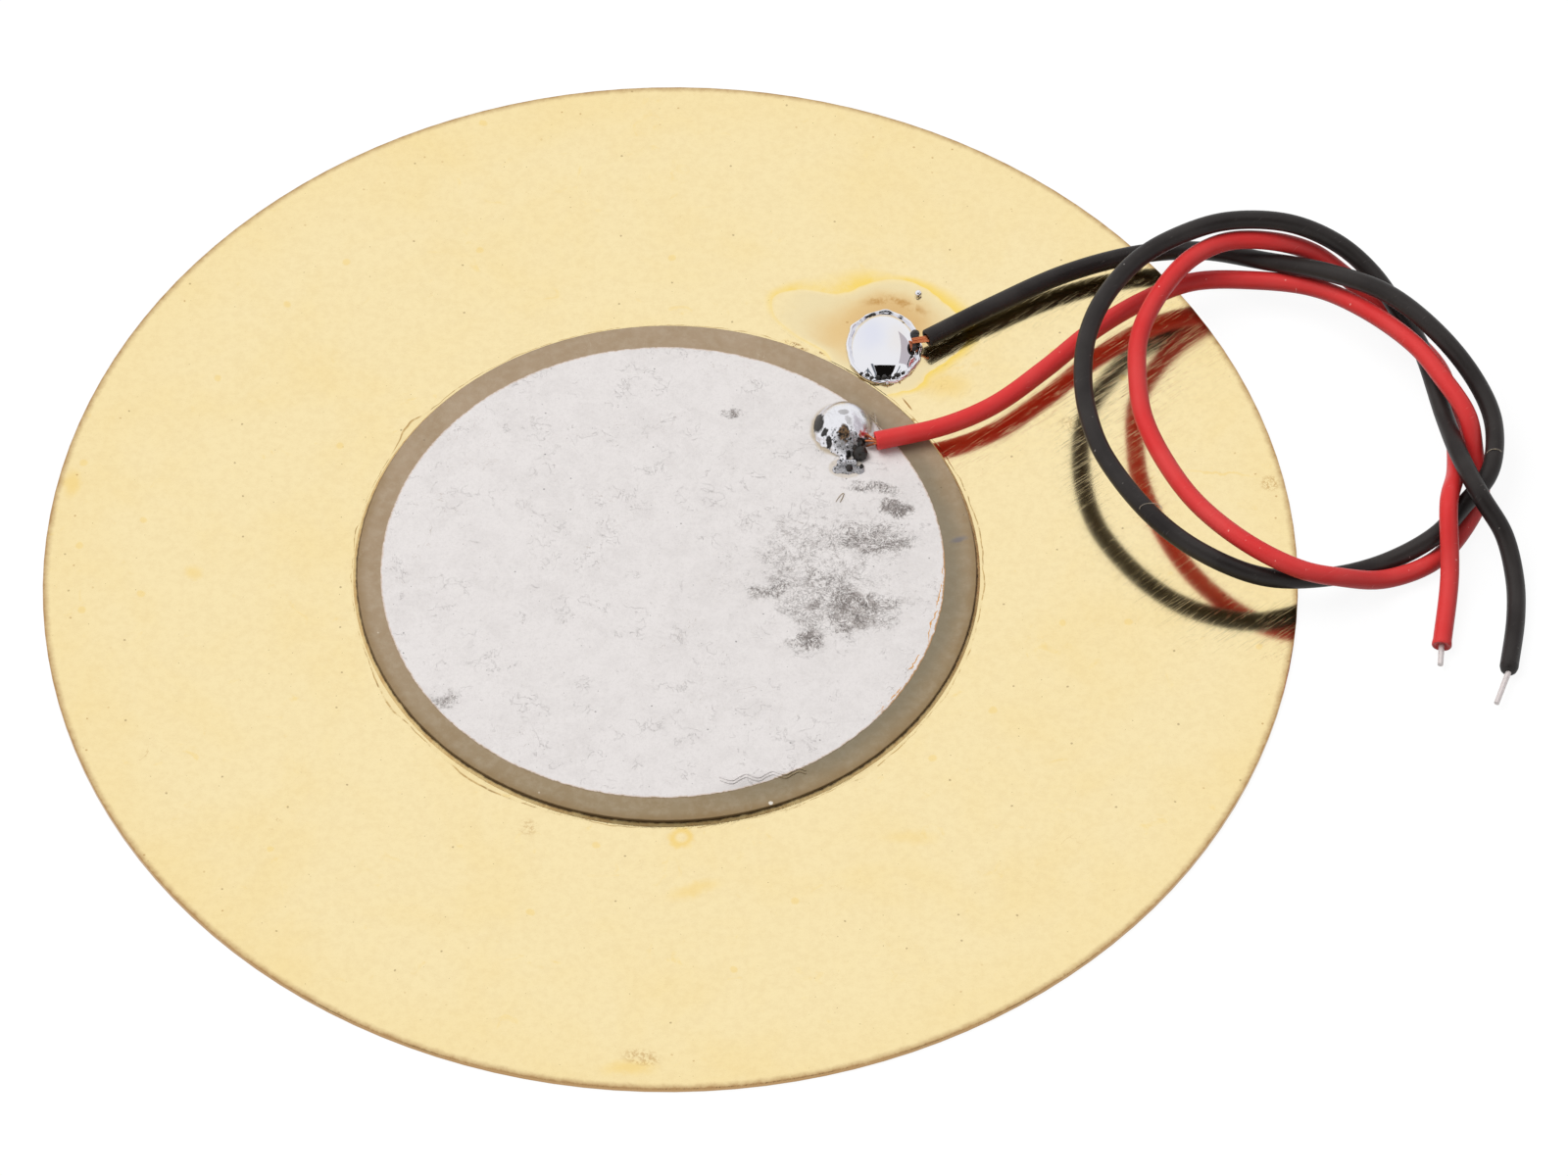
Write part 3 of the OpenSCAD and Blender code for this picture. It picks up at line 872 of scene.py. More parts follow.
def flux_finish():
    """Amber skin on the brass, browner towards the joint, with a yellow haze outside it."""
    look = bpy.context.scene.piezo_solder
    f = Finish("dried_flux_skin")
    rim = f.attribute("rim")
    x, y = PLATE_JOINT_AT.xy / MM
    soft = f.shaken(1.6, 0.55)
    faded = f.step(f.uneven(f.along(1, 0), 1.5, 1.2, 3), x - 4.5, x - 2.0)
    thin = f.times(f.step(rim, 0.90, 1.02, 1, 0), faded)
    amber = f.times(f.patch(x - 0.2, y + 0.8, 3.4, 2.6, 8, 0.6, soft), f.step(rim, 0.75, 1.0, 1, 0))
    arc = f.uneven(f.from_middle(PLATE_JOINT_AT), 0.9, 0.8, 4, 0.65, shift=9)
    arc = f.times(
        f.step(arc, 2.5, 2.75), f.step(arc, 2.8, 3.1, 1, 0), f.cloud(0.38, 0.6, 0.5, 4, 0.7, shift=19),
        f.patch(x + 0.6, y + 2.3, 1.8, 1.2, -15, 0.6),
    )
    crumbs = f.times(f.specks(0.7, 0.07, 0.08, 16), f.patch(x, y, 3.2, 3.2, 0, 0.2))
    patchy = f.times(f.cloud(0.34, 0.60, 1.8, 4, 0.6, shift=27), 0.8)
    haze = f.times(
        f.step(rim, 0.97, 1.04), f.step(rim, 1.0, 2.0, 1, 0),
        f.maths("ADD", 0.4, patchy, clamp=True),
        f.step(f.along(1, 1), x + y - 4.0, x + y, 0.15, 1),
    )
    return polished(f, f.coats(
        brass_colour(f),
        (thin, 0.8, look.flux_edge),
        (amber, 0.85, look.flux),
        (f.patch(x + 0.4, y + 1.1, 2.3, 1.8, -10, 0.8, soft), 0.7, "#d9b27a"),
        (arc, 0.8, "#c08f4c"),
        (crumbs, 0.5, look.stain),
        (haze, 1, look.flux_line),
    ))


def glassy_flux_finish():
    """Clear amber flux drawn out into threads."""
    f = Finish("glassy_flux")
    return f.set(Base_Color="#c9bba6", Roughness=0.15, Transmission_Weight=0.6, IOR=1.5)


def char_finish():
    """Burnt flux, near black."""
    f = Finish("burnt_flux")
    tone = f.cloud(0.45, 0.75, 0.1, 3)
    base = f.blend(tone, bpy.context.scene.piezo_solder.char, "#2e2118")
    return f.set(Base_Color=base, Roughness=0.3, Normal=f.bump(f.noise(0.06, 3), 0.02))


def copper_finish():
    """Bare copper, redder in places."""
    f = Finish("bare_copper")
    redder = (f.cloud(0.35, 0.7, 0.15, 3), 0.5, "#a8502e")
    base = f.coats(bpy.context.scene.piezo_solder.copper, redder)
    return f.set(Base_Color=base, Metallic=1.0, Roughness=0.28)


def tinned_finish():
    """Copper under dull tin."""
    f = Finish("tinned_conductor")
    duller = (f.cloud(0.4, 0.7, 0.2, 4, 0.6), 0.15, "#8f8583")
    base = f.coats(bpy.context.scene.piezo_leads.tinned, duller)
    return f.set(Base_Color=base, Metallic=0.45, Roughness=0.35, Normal=f.bump(f.noise(0.08, 2), 0.006))


def insulation_finish(name, shade, dust, gloss):
    """Satin plastic with dust and short light scuffs."""
    f = Finish(name)
    scuffs = f.step(f.streaks(0.6, 0.6, 0.05, 3, 0.6), 0.66, 0.74)
    base = f.coats(
        shade,
        (f.cloud(0.3, 0.7, 2.5, 3), 0.06, dust),
        (f.either(f.specks(1.3, 0.04, 0.16), f.specks(0.6, 0.022, 0.10, 3)), 0.7, dust),
        (scuffs, 0.22, dust),
    )
    relief = f.bump(f.noise(0.07, 3, 0.6), 0.003)
    return f.set(Base_Color=base, Roughness=0.42, Specular_IOR_Level=gloss, Normal=relief)


# ---------- leads ----------


LEAD_SIDES = 28
LEAD_STEPS = 9
STRANDS = 7

# Ends of the insulation: millimetres past the lead's end, share of its radius
PINCHED_END = ((-0.34, 1.0), (-0.26, 0.97), (-0.12, 0.84), (-0.03, 0.62), (0.0, 0.40), (-0.02, 0.30))
LIP_END = (
    (-0.30, 1.0), (-0.16, 1.05), (-0.05, 1.06), (0.0, 0.97), (0.0, 0.76), (-0.05, 0.56),
    (-0.13, 0.36),
)


def lead_line(route, radius):
    """Centre line of a lead that lies no lower than the table lets it."""
    return [Vector((p.x, p.y, max(p.z, radius))) for p in through(route, LEAD_STEPS)]


def cut_end(radius, bore):
    """Square cut with a soft corner, open at the bore, listed from the bore outwards."""
    return (
        (-0.35 * MM, bore), (-0.03 * MM, bore), (0.0, bore * 1.12),
        (0.0, radius * 0.93), (-0.02 * MM, radius * 0.99), (-0.06 * MM, radius),
    )


def lumpy(around, ring):
    """Slight lumps along the insulation."""
    return 1 + 0.012 * noise.noise(Vector((math.cos(around), math.sin(around), ring * 0.11)))


def build_leads():
    """Insulation of the two leads, each with its centre line."""
    look = bpy.context.scene.piezo_leads
    radius = look.diameter / 2
    black = insulation_finish("satin_black", look.black, "#8d8783", 0.26)
    red = insulation_finish("satin_red", look.red, "#f0aaa2", 0.3)
    made = []
    for name, route, shape, finish, slot, node in (
        ("black_lead", BLACK_ROUTE, PINCHED_END, black, "black_insulation", "black_wire"),
        ("red_lead", RED_ROUTE, LIP_END, red, "red_insulation", "red_wire"),
    ):
        line = lead_line(route, radius)
        facing = directions(line)
        rings = [
            (line[0] - facing[0] * past, facing[0], r)
            for past, r in cut_end(radius, look.bore / 2)
        ]
        rings += [(p, d, radius) for p, d in zip(line, facing)][1:-1]
        rings += [
            (line[-1] + facing[-1] * (past * MM), facing[-1], radius * share)
            for past, share in shape
        ]
        piece = tube(name, rings, LEAD_SIDES, lumpy)
        place(piece, finish, replaces=[node])
        made.append((piece, line))
    return made


def build_tips():
    """Tinned ends of the two conductors."""
    r = bpy.context.scene.piezo_leads.conductor / 2
    finish = tinned_finish()
    tips = []
    for name, node, route, hidden, lift, taper in (
        ("black_lead_tip", "black_tip", BLACK_ROUTE, 0.35, 0.4, 0.9),
        ("red_lead_tip", "red_tip", RED_ROUTE, 0.45, 0.0, 0.92),
    ):
        low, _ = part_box(node)
        at = Vector(route[-1])
        far = Vector((low.x + r, low.y + r * lift, at.z))
        heading = (far - at).normalized()
        line = [at - heading * (hidden * MM), at, at.lerp(far, 0.5), far]
        tip = even_tube(name, line, r, 14, 6, taper)
        tips.append(place(tip, finish, replaces=[node]))
    return tips


class PIEZO_OT_leads(bpy.types.Operator):
    """Build the two insulated leads and their tinned tips"""

    bl_idname = "piezo.leads"
    bl_label = "Leads"

    def execute(self, context):
        for (piece, line), tip in zip(build_leads(), build_tips()):
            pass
        return {"FINISHED"}


# ---------- plate and element ----------


def build_ridge():
    """A wavy pair of raised lines in the silver near its front edge."""
    lines = []
    for side in (-0.075, 0.075):
        points = []
        for k in range(14):
            x = 2.0 + 0.26 * k
            y = -10.3 + 0.13 * (x - 3) + 0.12 * math.cos(2 * math.pi * (x - 3) / 1.05) + side
            points.append(Vector((x, y, PRINT_TOP / MM + 0.012)) * MM)
        lines.append(even_tube("ridge", points, 0.036 * MM, 8, 6, 0.7))
    return join("silver_ridge", lines)


class PIEZO_OT_plate(bpy.types.Operator):
    """Give the brass plate its finish"""

    bl_idname = "piezo.plate"
    bl_label = "Brass plate"

    def execute(self, context):
        wear(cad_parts["brass_plate"], brass_finish())
        return {"FINISHED"}


class PIEZO_OT_element(bpy.types.Operator):
    """Give the glue, the ceramic and the electrodes their finish"""

    bl_idname = "piezo.element"
    bl_label = "Ceramic element"

    def execute(self, context):
        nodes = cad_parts
        silver = silver_finish()
        wear(nodes["adhesive"], glue_finish())
        wear(nodes["ceramic_disc"], ceramic_finish())
        wear(nodes["lower_electrode"], silver)
        wear(nodes["upper_electrode"], silver)
        place(build_ridge(), silver)
        return {"FINISHED"}


# ---------- skins on the brass ----------


# Heights over the brass of the skins' lowest edge, the glue and the flux
SKIN_EDGE = 0.001 * MM
GLUE_LEVEL = 0.005 * MM
FLUX_LEVEL = 0.009 * MM

# Runs of glue past the ceramic: heading and half width in degrees, reach in millimetres
GLUE_RUNS = (
    (145, 4, 0.25), (-150, 5, 0.25), (-125, 8, 0.25), (10, 16, 0.10), (-20, 10, 0.08),
    (-50, 8, 0.15),
)

# Lobes of the dried flux round its joint, and of the yellow haze outside it, in the same form
FLUX_LOBES = ((75, 50, 1.3), (152, 22, 2.7), (10, 30, 1.0), (285, 30, 0.4))
HAZE_LOBES = ((118, 25, 1.1), (35, 25, 0.5), (-10, 30, 0.4))


def skin(name, rings, level):
    """A thin skin through closed lines of points, each with the number that its points carry."""
    count = len(rings[0][1])
    corners = [
        (*p.xy, PLATE_TOP + (SKIN_EDGE if line is rings[-1][1] else level))
        for _, line in rings
        for p in line
    ]
    piece = new_piece(name, corners, faces_between(len(rings), count))
    rim = piece.data.attributes.new("rim", "FLOAT", "POINT")
    for index, point in enumerate(rim.data):
        point.value = rings[index // count][0]
    clean(piece, merge=False)
    return piece


def rings_between(inner, outer, levels):
    """Closed lines that go from one line to another, each with its level."""
    return [(level, [a.lerp(b, level) for a, b in zip(inner, outer)]) for level in levels]


def lobes(angle, runs):
    """How far an outline reaches at an angle: each run is heading, half width and reach."""
    reach = 0.0
    for heading, half, run in runs:
        off = math.degrees(math.remainder(angle - math.radians(heading), 2 * math.pi)) / half
        reach += run * math.exp(-off * off)
    return reach


def headings(count):
    """Angles that go once round, each with its direction."""
    for k in range(count):
        a = 2 * math.pi * k / count
        yield a, Vector((math.cos(a), math.sin(a), 0))


def build_glue_skin():
    """Clear glue that has run out round the ceramic in an uneven rim."""
    inner = []
    outer = []
    for a, way in headings(720):
        reach = 0.14 + 0.10 * noise.noise(way * 9) + 0.05 * noise.noise(way * 31)
        reach = max(0.03, reach + lobes(a, GLUE_RUNS))
        inner.append(ELEMENT_AT + way * (ELEMENT_R + 0.1 * MM))
        outer.append(ELEMENT_AT + way * (ELEMENT_R + (0.1 + reach) * MM))
    return skin("glue_skin", rings_between(inner, outer, (0.0, 0.5, 0.7, 0.8, 0.9, 1.0)), GLUE_LEVEL)


def build_flux_film():
    """A thin skin of dried flux in a wavy outline, and the yellow haze that lies outside it."""
    border = []
    faded = []
    clear = ELEMENT_R + 0.2 * MM
    for a, way in headings(240):
        reach = 2.2 + lobes(a, FLUX_LOBES) + 0.22 * noise.noise(way * 2.2) + 0.08 * noise.noise(way * 7)
        haze = reach + 0.3 + lobes(a, HAZE_LOBES) + 0.2 * noise.noise(way * 3 + Vector((5, 0, 0)))
        for line, far, least in ((border, reach, clear), (faded, haze, clear + 0.03 * MM)):
            at = PLATE_JOINT_AT + way * far * MM
            out = (at - ELEMENT_AT).to_2d()
            if out.length < least:
                at.xy = ELEMENT_AT.xy + out.normalized() * least
            line.append(at)
    rings = rings_between([PLATE_JOINT_AT] * len(border), border, (0.3, 0.6, 0.8, 0.9, 0.97, 1.0))
    rings += [(1 + level, line) for level, line in rings_between(border, faded, (0.1, 0.4, 0.7, 1.0))]
    return skin("dried_flux", rings, FLUX_LEVEL)


class PIEZO_OT_glue(bpy.types.Operator):
    """Build the glue that has run out round the ceramic"""

    bl_idname = "piezo.glue"
    bl_label = "Glue run-out"

    def execute(self, context):
        place(build_glue_skin(), glue_skin_finish())
        return {"FINISHED"}


# ---------- joints ----------


PLATE_DOME_SIDES = 144
PRINT_DOME_SIDES = 128

# Flange of the plate's joint: half width, half depth, height over the brass, in millimetres
FLANGE = (
    (1.50, 1.86, 0.0), (1.535, 1.90, 0.02), (1.53, 1.895, 0.06), (1.50, 1.86, 0.12),
    (1.465, 1.82, 0.16), (1.43, 1.785, 0.165), (1.40, 1.75, 0.14), (1.38, 1.73, 0.10),
)

# Where the other joint's foot is dragged: place, move and reach, in millimetres
DRAGS = (
    (0.0, -1.2, (0.0, -0.28, 0.0), 0.55), (0.45, -1.1, (0.05, -0.18, 0.02), 0.4),
    (-0.95, -0.5, (-0.05, -0.02, 0.0), 0.5), (-0.6, -1.0, (0.06, 0.10, 0.0), 0.3),
    (0.95, 0.5, (-0.04, 0.0, 0.05), 0.4),
)


def chance(*place_in_noise):
    """A fixed number between -1 and 1 for each thing in a row."""
    return noise.noise(Vector(place_in_noise))


def about(centre, x, y, z=0.0):
    """A place given in millimetres from a centre, at a height over the table."""
    return Vector((centre.x + x * MM, centre.y + y * MM, z * MM))


def cap(half_w, half_d, foot, height, lean, steps=22):
    """Rings of a round cap that leaves its foot at a given angle, from the foot upwards."""
    rings = []
    for i in range(steps):
        a = lean * (1 - i / steps)
        share = math.sin(a) / math.sin(lean)
        rise = (math.cos(a) - math.cos(lean)) / (1 - math.cos(lean))
        rings.append((half_w * share, half_d * share, foot + height * rise))
    return rings


def pull(piece, at, move, reach):
    """Drags a surface by its point nearest to a place, and what lies within reach with it."""
    nearest = min((point.co.copy() for point in piece.data.vertices), key=lambda co: (co - at).length)
    edit(piece)
    pick_points(lambda co: co == nearest)
    bpy.ops.transform.translate(
        value=move, use_proportional_edit=True, proportional_edit_falloff="SMOOTH",
        proportional_size=reach,
    )
    bpy.ops.object.mode_set(mode="OBJECT")


def lump(name, at, size, rough=0.12, segments=20):
    """A rounded crumb with an uneven surface. Its size is in millimetres."""
    piece = ball(name, at, Vector(size) * MM, segments)
    roughen(piece, 0.18 * MM, rough * MM)
    shade_smooth(piece, 70)
    return piece


def build_plate_dome():
    """Bright dome on a ragged flange."""
    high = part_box("plate_solder")[1].z
    c = about(PLATE_JOINT_AT, 0.03, -0.13)
    foot = PLATE_TOP
    crease = foot + 0.10 * MM
    rings = [(w * MM, d * MM, foot + rise * MM) for w, d, rise in FLANGE]
    rings += cap(1.365 * MM, 1.71 * MM, crease + 0.005 * MM, high - crease, math.radians(68))
    dome = turned("plate_joint", c, rings, PLATE_DOME_SIDES)
    for k, (_, way) in enumerate(headings(17)):
        out = chance(k * 2.3, 1.7, 0)
        lift = 0.05 + 0.10 * chance(k * 3.1, 8.2, 0)
        at = about(c, 1.5 * way.x, 1.85 * way.y, PLATE_TOP / MM + 0.1)
        pull(dome, at, (way * 0.12 * out + Vector((0, 0, lift))) * MM, (0.3 + 0.1 * out) * MM)

    def on_flange(co):
        out = math.hypot((co.x - c.x) / 1.375, (co.y - c.y) / 1.72)
        return 1 if co.z < foot + 0.2 * MM and out > MM else 0

    group_of(dome, "flange", on_flange)
    roughen(dome, 0.2 * MM, 0.05 * MM, "flange")
    edit(dome)
    pick_points(lambda co: co.z < foot)
    bpy.ops.transform.resize(value=(1, 1, 0), center_override=(c.x, c.y, foot))
    bpy.ops.object.mode_set(mode="OBJECT")
    shade_smooth(dome, 70)
    return dome


def crumbs_round(centre, first, last, half_w, half_d, z, count, size, seed):
    """Crumbs of uneven size strung round a joint, in millimetres and degrees."""
    parts = []
    for k in range(count):
        a = math.radians(first + (last - first) * k / max(1, count - 1))
        wide = size * (1 + 0.7 * chance(k * 1.9 + 0.4, seed, 0))
        out = 1 + 0.08 * chance(k * 2.7 + 0.3, seed, 5)
        at = about(centre, half_w * out * math.cos(a), half_d * out * math.sin(a), z)
        parts.append(lump("crumb", at, (wide, wide * 1.2, wide * 0.9), 0.09))
    return parts


def build_char():
    """Burnt flux: lumps at both joints."""
    c = PLATE_JOINT_AT
    parts = crumbs_round(c, 14, -10, 1.34, 1.7, 0.45, 5, 0.25, 1)
    parts += crumbs_round(c, 113, 106, 1.24, 1.50, 0.38, 3, 0.16, 2)
    parts += crumbs_round(c, 235, 305, 1.46, 1.84, 0.36, 9, 0.15, 3)
    parts += crumbs_round(c, 262, 292, 1.42, 1.78, 0.40, 4, 0.18, 6)
    c = PRINT_JOINT_AT
    parts.append(lump("crumb", about(c, 0.65, -1.4, 0.62), (0.6, 0.7, 0.5)))
    parts += crumbs_round(c, -70, -42, 1.2, 1.2, 0.7, 3, 0.24, 4)
    parts += crumbs_round(c, -84, -70, 2.1, 2.1, 0.5, 2, 0.22, 5)
    return join("burnt_flux", parts)


def build_beads():
    """Beads of solder that spattered beside the plate's joint."""
    z = BEAD_AT.z / MM
    spots = [(BEAD_AT.x, BEAD_AT.y, z, 2 * half_width("solder_bead") / MM)]
    for heading, wide in ((-84, 0.15), (-66, 0.12)):
        a = math.radians(heading)
        x = PLATE_JOINT_AT.x + 1.65 * MM * math.cos(a)
        y = PLATE_JOINT_AT.y + 2.0 * MM * math.sin(a)
        spots.append((x, y, z - 0.02, wide))
    parts = [
        ball("bead", Vector((x, y, z * MM)), Vector((wide, wide, wide)) * MM)
        for x, y, z, wide in spots
    ]
    beads = join("solder_beads", parts)
    shade_smooth(beads, 80)
    return beads


def build_print_dome():
    """Overheated dome on the silver, with a neck and a thin puddle in front."""
    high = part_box("electrode_solder")[1].z
    c = PRINT_JOINT_AT
    foot = PRINT_TOP
    rings = [(1.17 * MM, 1.29 * MM, foot), (1.20 * MM, 1.32 * MM, foot + 0.03 * MM)]
    rings += cap(1.18 * MM, 1.30 * MM, foot + 0.06 * MM, high - foot - 0.06 * MM, math.radians(64))
    dome = turned("print_joint", c, rings, PRINT_DOME_SIDES)
    for x, y, move, reach in DRAGS:
        pull(dome, about(c, x, y, foot / MM + 0.15), Vector(move) * MM, reach * MM)
    front = c.y - 0.15 * MM
    group_of(dome, "pitted", lambda co: min(1.0, max(0.0, (front - co.y) / (0.7 * MM))))
    roughen(dome, 0.28 * MM, 0.16 * MM, "pitted")
    roughen(dome, 0.11 * MM, 0.07 * MM, "pitted")
    shade_smooth(dome, 60)
    parts = [dome, lump("neck", about(c, 0.0, -1.45, 0.5), (0.35, 0.7, 0.3), 0.10, 28)]
    for k in range(4):
        tall = 0.26 + 0.06 * chance(k * 1.3, 4.4, 0)
        at = about(c, -0.15 + 0.18 * k, -1.8, 0.5)
        parts.append(lump("crystal", at, (0.3, 0.35, tall), 0.10, 28))
    for k in range(5):
        at = about(c, -0.25 + 0.22 * k, -2.1 + 0.12 * chance(k * 1.7, 9.1, 0), 0.45)
        parts.append(lump("puddle", at, (0.42, 0.42, 0.11), 0.05, 28))
    return join("print_joint", parts)


def build_strands(name, route, joint_at, height, spread):
    """Bare strands that fan out from a lead's cut end into its joint."""
    look = bpy.context.scene.piezo_leads
    start = Vector(route[0])
    inward = (start - Vector(route[1])).normalized()
    goal = Vector((joint_at.x, joint_at.y, height))
    across = Vector((0, 0, 1)).cross(inward).normalized()
    parts = []
    for k in range(STRANDS):
        side = k / (STRANDS - 1) - 0.5
        up = chance(k * 1.7, route[0][0] / MM, 0)
        mouth = start + (across * side * 0.22 * MM + Vector((0, 0, 0.12 * up * MM)))
        end = start.lerp(goal, 0.6 * MM / (goal - start).length) + across * side * spread * MM
        end.z = height + 0.3 * up * MM
        line = [mouth - inward * 0.3 * MM, mouth, mouth.lerp(end, 0.5), end]
        parts.append(even_tube("strand", line, look.strand / 2, 8, 5))
    return join(name, parts)


def build_fibres():
    """Glassy threads of flux beside the red lead."""
    c = PRINT_JOINT_AT
    parts = []
    for k in range(4):
        foot = about(c, 1.15 - 0.04 * k, 0.8 - 0.14 * k, PRINT_TOP / MM + 0.02)
        head = about(c, 1.3 + 0.06 * k, -0.2 - 0.06 * k, 0.95 - 0.06 * k)
        lift = Vector((0.05 * MM, 0, (0.14 - 0.02 * k) * MM))
        line = [head, head.lerp(foot, 0.35) + lift, head.lerp(foot, 0.7) + lift, foot]
        parts.append(even_tube("thread", line, 0.028 * MM, 8, 5, 0.5))
    return join("flux_threads", parts)


def build_lint():
    """Loose hairs: two on the black lead and one in a narrow loop on the silver."""
    parts = []
    for x, y, across, up, turn, droop in (
        (18.6, 1.3, 0.45, 0.22, 0, 0.06), (32.7, 5.6, 0.30, 0.06, 5, 0.16),
        (6.7, 3.4, 0.08, 0.45, -27, 0.0),
    ):
        at = Vector((x * MM, y * MM, PRINT_TOP + 0.02 * MM))
        if droop:
            at = min((Vector(p) for p in BLACK_ROUTE), key=lambda p: (p.xy - at.xy).length)
            at.z += 0.42 * MM
        heading = Matrix.Rotation(math.radians(turn), 3, "Z")
        line = []
        for a in (0.0, 0.7, 1.4, 2.1, 2.8, 3.3):
            way = Vector((math.cos(a) * across, math.sin(a) * up, -droop * math.cos(a) ** 2))
            line.append(at + heading @ way * MM)
        parts.append(even_tube("hair", line, 0.022 * MM, 8, 6, 0.6))
    return join("lint", parts)


class PIEZO_OT_plate_joint(bpy.types.Operator):
    """Build the joint on the brass, with its bead and strands"""

    bl_idname = "piezo.plate_joint"
    bl_label = "Plate joint"

    def execute(self, context):
        solder = solder_finish()
        place(build_plate_dome(), solder, replaces=["plate_solder"])
        place(build_beads(), solder, replaces=["solder_bead"])
        strands = build_strands(
            "black_lead_strands", BLACK_ROUTE, PLATE_JOINT_AT, PLATE_TOP + 0.42 * MM, 0.1
        )
        place(strands, copper_finish(), replaces=["black_strands"])
        return {"FINISHED"}


class PIEZO_OT_print_joint(bpy.types.Operator):
    """Build the overheated joint on the silver print"""

    bl_idname = "piezo.print_joint"
    bl_label = "Electrode joint"

    def execute(self, context):
        place(build_print_dome(), pitted_solder_finish(), replaces=["electrode_solder"])
        strands = build_strands(
            "red_lead_strands", RED_ROUTE, PRINT_JOINT_AT, PRINT_TOP + 0.15 * MM, 0.8
        )
        place(strands, copper_finish(), replaces=["red_strands"])
        return {"FINISHED"}


class PIEZO_OT_flux(bpy.types.Operator):
    """Build the dried and the burnt flux, its threads and the lint"""

    bl_idname = "piezo.flux"
    bl_label = "Flux"

    def execute(self, context):
        place(build_flux_film(), flux_finish(), replaces=["flux_film"])
        place(build_char(), char_finish())
        glassy = glassy_flux_finish()
        place(build_fibres(), glassy)
        place(build_lint(), glassy)
        return {"FINISHED"}


# ---------- stage ----------


# What the camera looks at, and where the lamp, the floor and the cards stand
AIM = Vector((0.004525, -0.0006, 0))
LAMP_AT = Vector((-0.25, 0.1, 0.5))
LAMP_WIDTH = 0.45
FLOOR_DROP = 0.02 * MM
FLOOR_GLOW = 0.915
CARD_HEIGHT = 0.3


def seen_directly(tree):
    """1 for rays that show a surface: to the camera, in a reflection or through glass."""
    rays = add_node(tree, "LightPath", {}).outputs
    seen = rays["Is Camera Ray"]
    for other in ("Is Glossy Ray", "Is Transmission Ray"):
        seen = add_node(tree, "Math", {0: seen, 1: rays[other]}, operation="MAXIMUM").outputs[0]
    return seen


def build_camera():
    """The camera, in front of the disc and looking down at it."""
    look = bpy.context.scene.piezo_stage
    back = Vector((0, -math.cos(look.elevation), math.sin(look.elevation)))
    camera = bpy.data.objects.new("camera", bpy.data.cameras.new("camera"))
    bpy.context.scene.collection.objects.link(camera)
    camera.data.lens = look.lens
    camera.data.clip_start = 0.01
    camera.location = AIM + back * look.distance
    camera.rotation_euler = (math.pi / 2 - look.elevation, 0, 0)
    bpy.context.scene.camera = camera


def build_world():
    """White all round to look at, and a plain soft light to see by."""
    world = bpy.data.worlds.new("surroundings")
    world.use_nodes = True
    bpy.context.scene.world = world
    tree = world.node_tree
    ambient = bpy.context.scene.piezo_stage.ambient
    strength = add_node(tree, "MapRange", {"Value": seen_directly(tree), "To Min": ambient})
    sky = tree.nodes["Background"]
    feed(tree, "#ffffff", sky.inputs["Color"])
    feed(tree, strength.outputs["Result"], sky.inputs["Strength"])


def flat_sheet(name, low, high, height):
    """A level sheet between two corners, for the stage."""
    deselect_all()
    centre = ((low[0] + high[0]) / 2, (low[1] + high[1]) / 2, height)
    bpy.ops.mesh.primitive_plane_add(size=1, location=centre)
    sheet = named_primitive(name, (high[0] - low[0], high[1] - low[1], 1))
    return sheet


def build_floor():
    """Pale floor that keeps a soft shadow of what stands on it, and is clear from underneath."""
    floor = flat_sheet("floor", (-1.5, -1.5), (1.5, 1.5), -FLOOR_DROP)
    f = Finish("pale_floor")
    floor.data.materials.append(f.set(
        Base_Color=(0.11, 0.11, 0.11), Roughness=1.0, Specular_IOR_Level=0.0,
        Emission_Color=(1, 1, 1), Emission_Strength=f.times(seen_directly(f.tree), FLOOR_GLOW),
    ))
    side = f.node("NewGeometry", {}).outputs["Backfacing"]
    clear = f.node("BsdfTransparent", {}).outputs["BSDF"]
    f.show(f.node("MixShader", {0: side, 1: f.shader.outputs["BSDF"], 2: clear}).outputs[0])


def build_lamp():
    """A large soft lamp overhead that no reflection shows."""
    light = bpy.data.lights.new("softbox", "AREA")
    light.shape = "SQUARE"
    light.size = LAMP_WIDTH
    light.energy = bpy.context.scene.piezo_stage.lamp
    lamp = bpy.data.objects.new("softbox", light)
    bpy.context.scene.collection.objects.link(lamp)
    lamp.location = LAMP_AT
    lamp.rotation_euler = (-LAMP_AT).to_track_quat("-Z", "Y").to_euler()
    lamp.visible_glossy = False
    lamp.visible_camera = False


def build_card(name, low, high, shade, folds=None, near_end=None):
    """A card overhead that only shows in reflections, plain or with folds of another colour.

    near_end is where its outer side stands at the end that is nearer overhead.
    """
    card = flat_sheet(name, low, high, CARD_HEIGHT)
    if near_end is not None:
        outer = low[0] if near_end < 0 else high[0]
        halfway = (low[1] + high[1]) / 2
        edit(card)
        pick_points(lambda co: co.y > halfway and abs(co.x - outer) < 0.01)
        bpy.ops.transform.translate(value=(near_end - outer, 0, 0))
        bpy.ops.object.mode_set(mode="OBJECT")
    f = Finish(name)
    if folds:
        wave = f.node("TexWave", {"Vector": f.metres, "Scale": 2.0, "Distortion": 0.4})
        narrow = f.node("MapRange", {"Value": wave.outputs["Fac"], "From Max": 0.35})
        shade = f.blend(narrow.outputs["Result"], shade, folds)
    f.show(f.node("Emission", {"Color": shade}).outputs[0])
    card.data.materials.append(f.material)
    card.visible_camera = False
    card.visible_diffuse = False
    card.visible_shadow = False
    card.visible_transmission = False


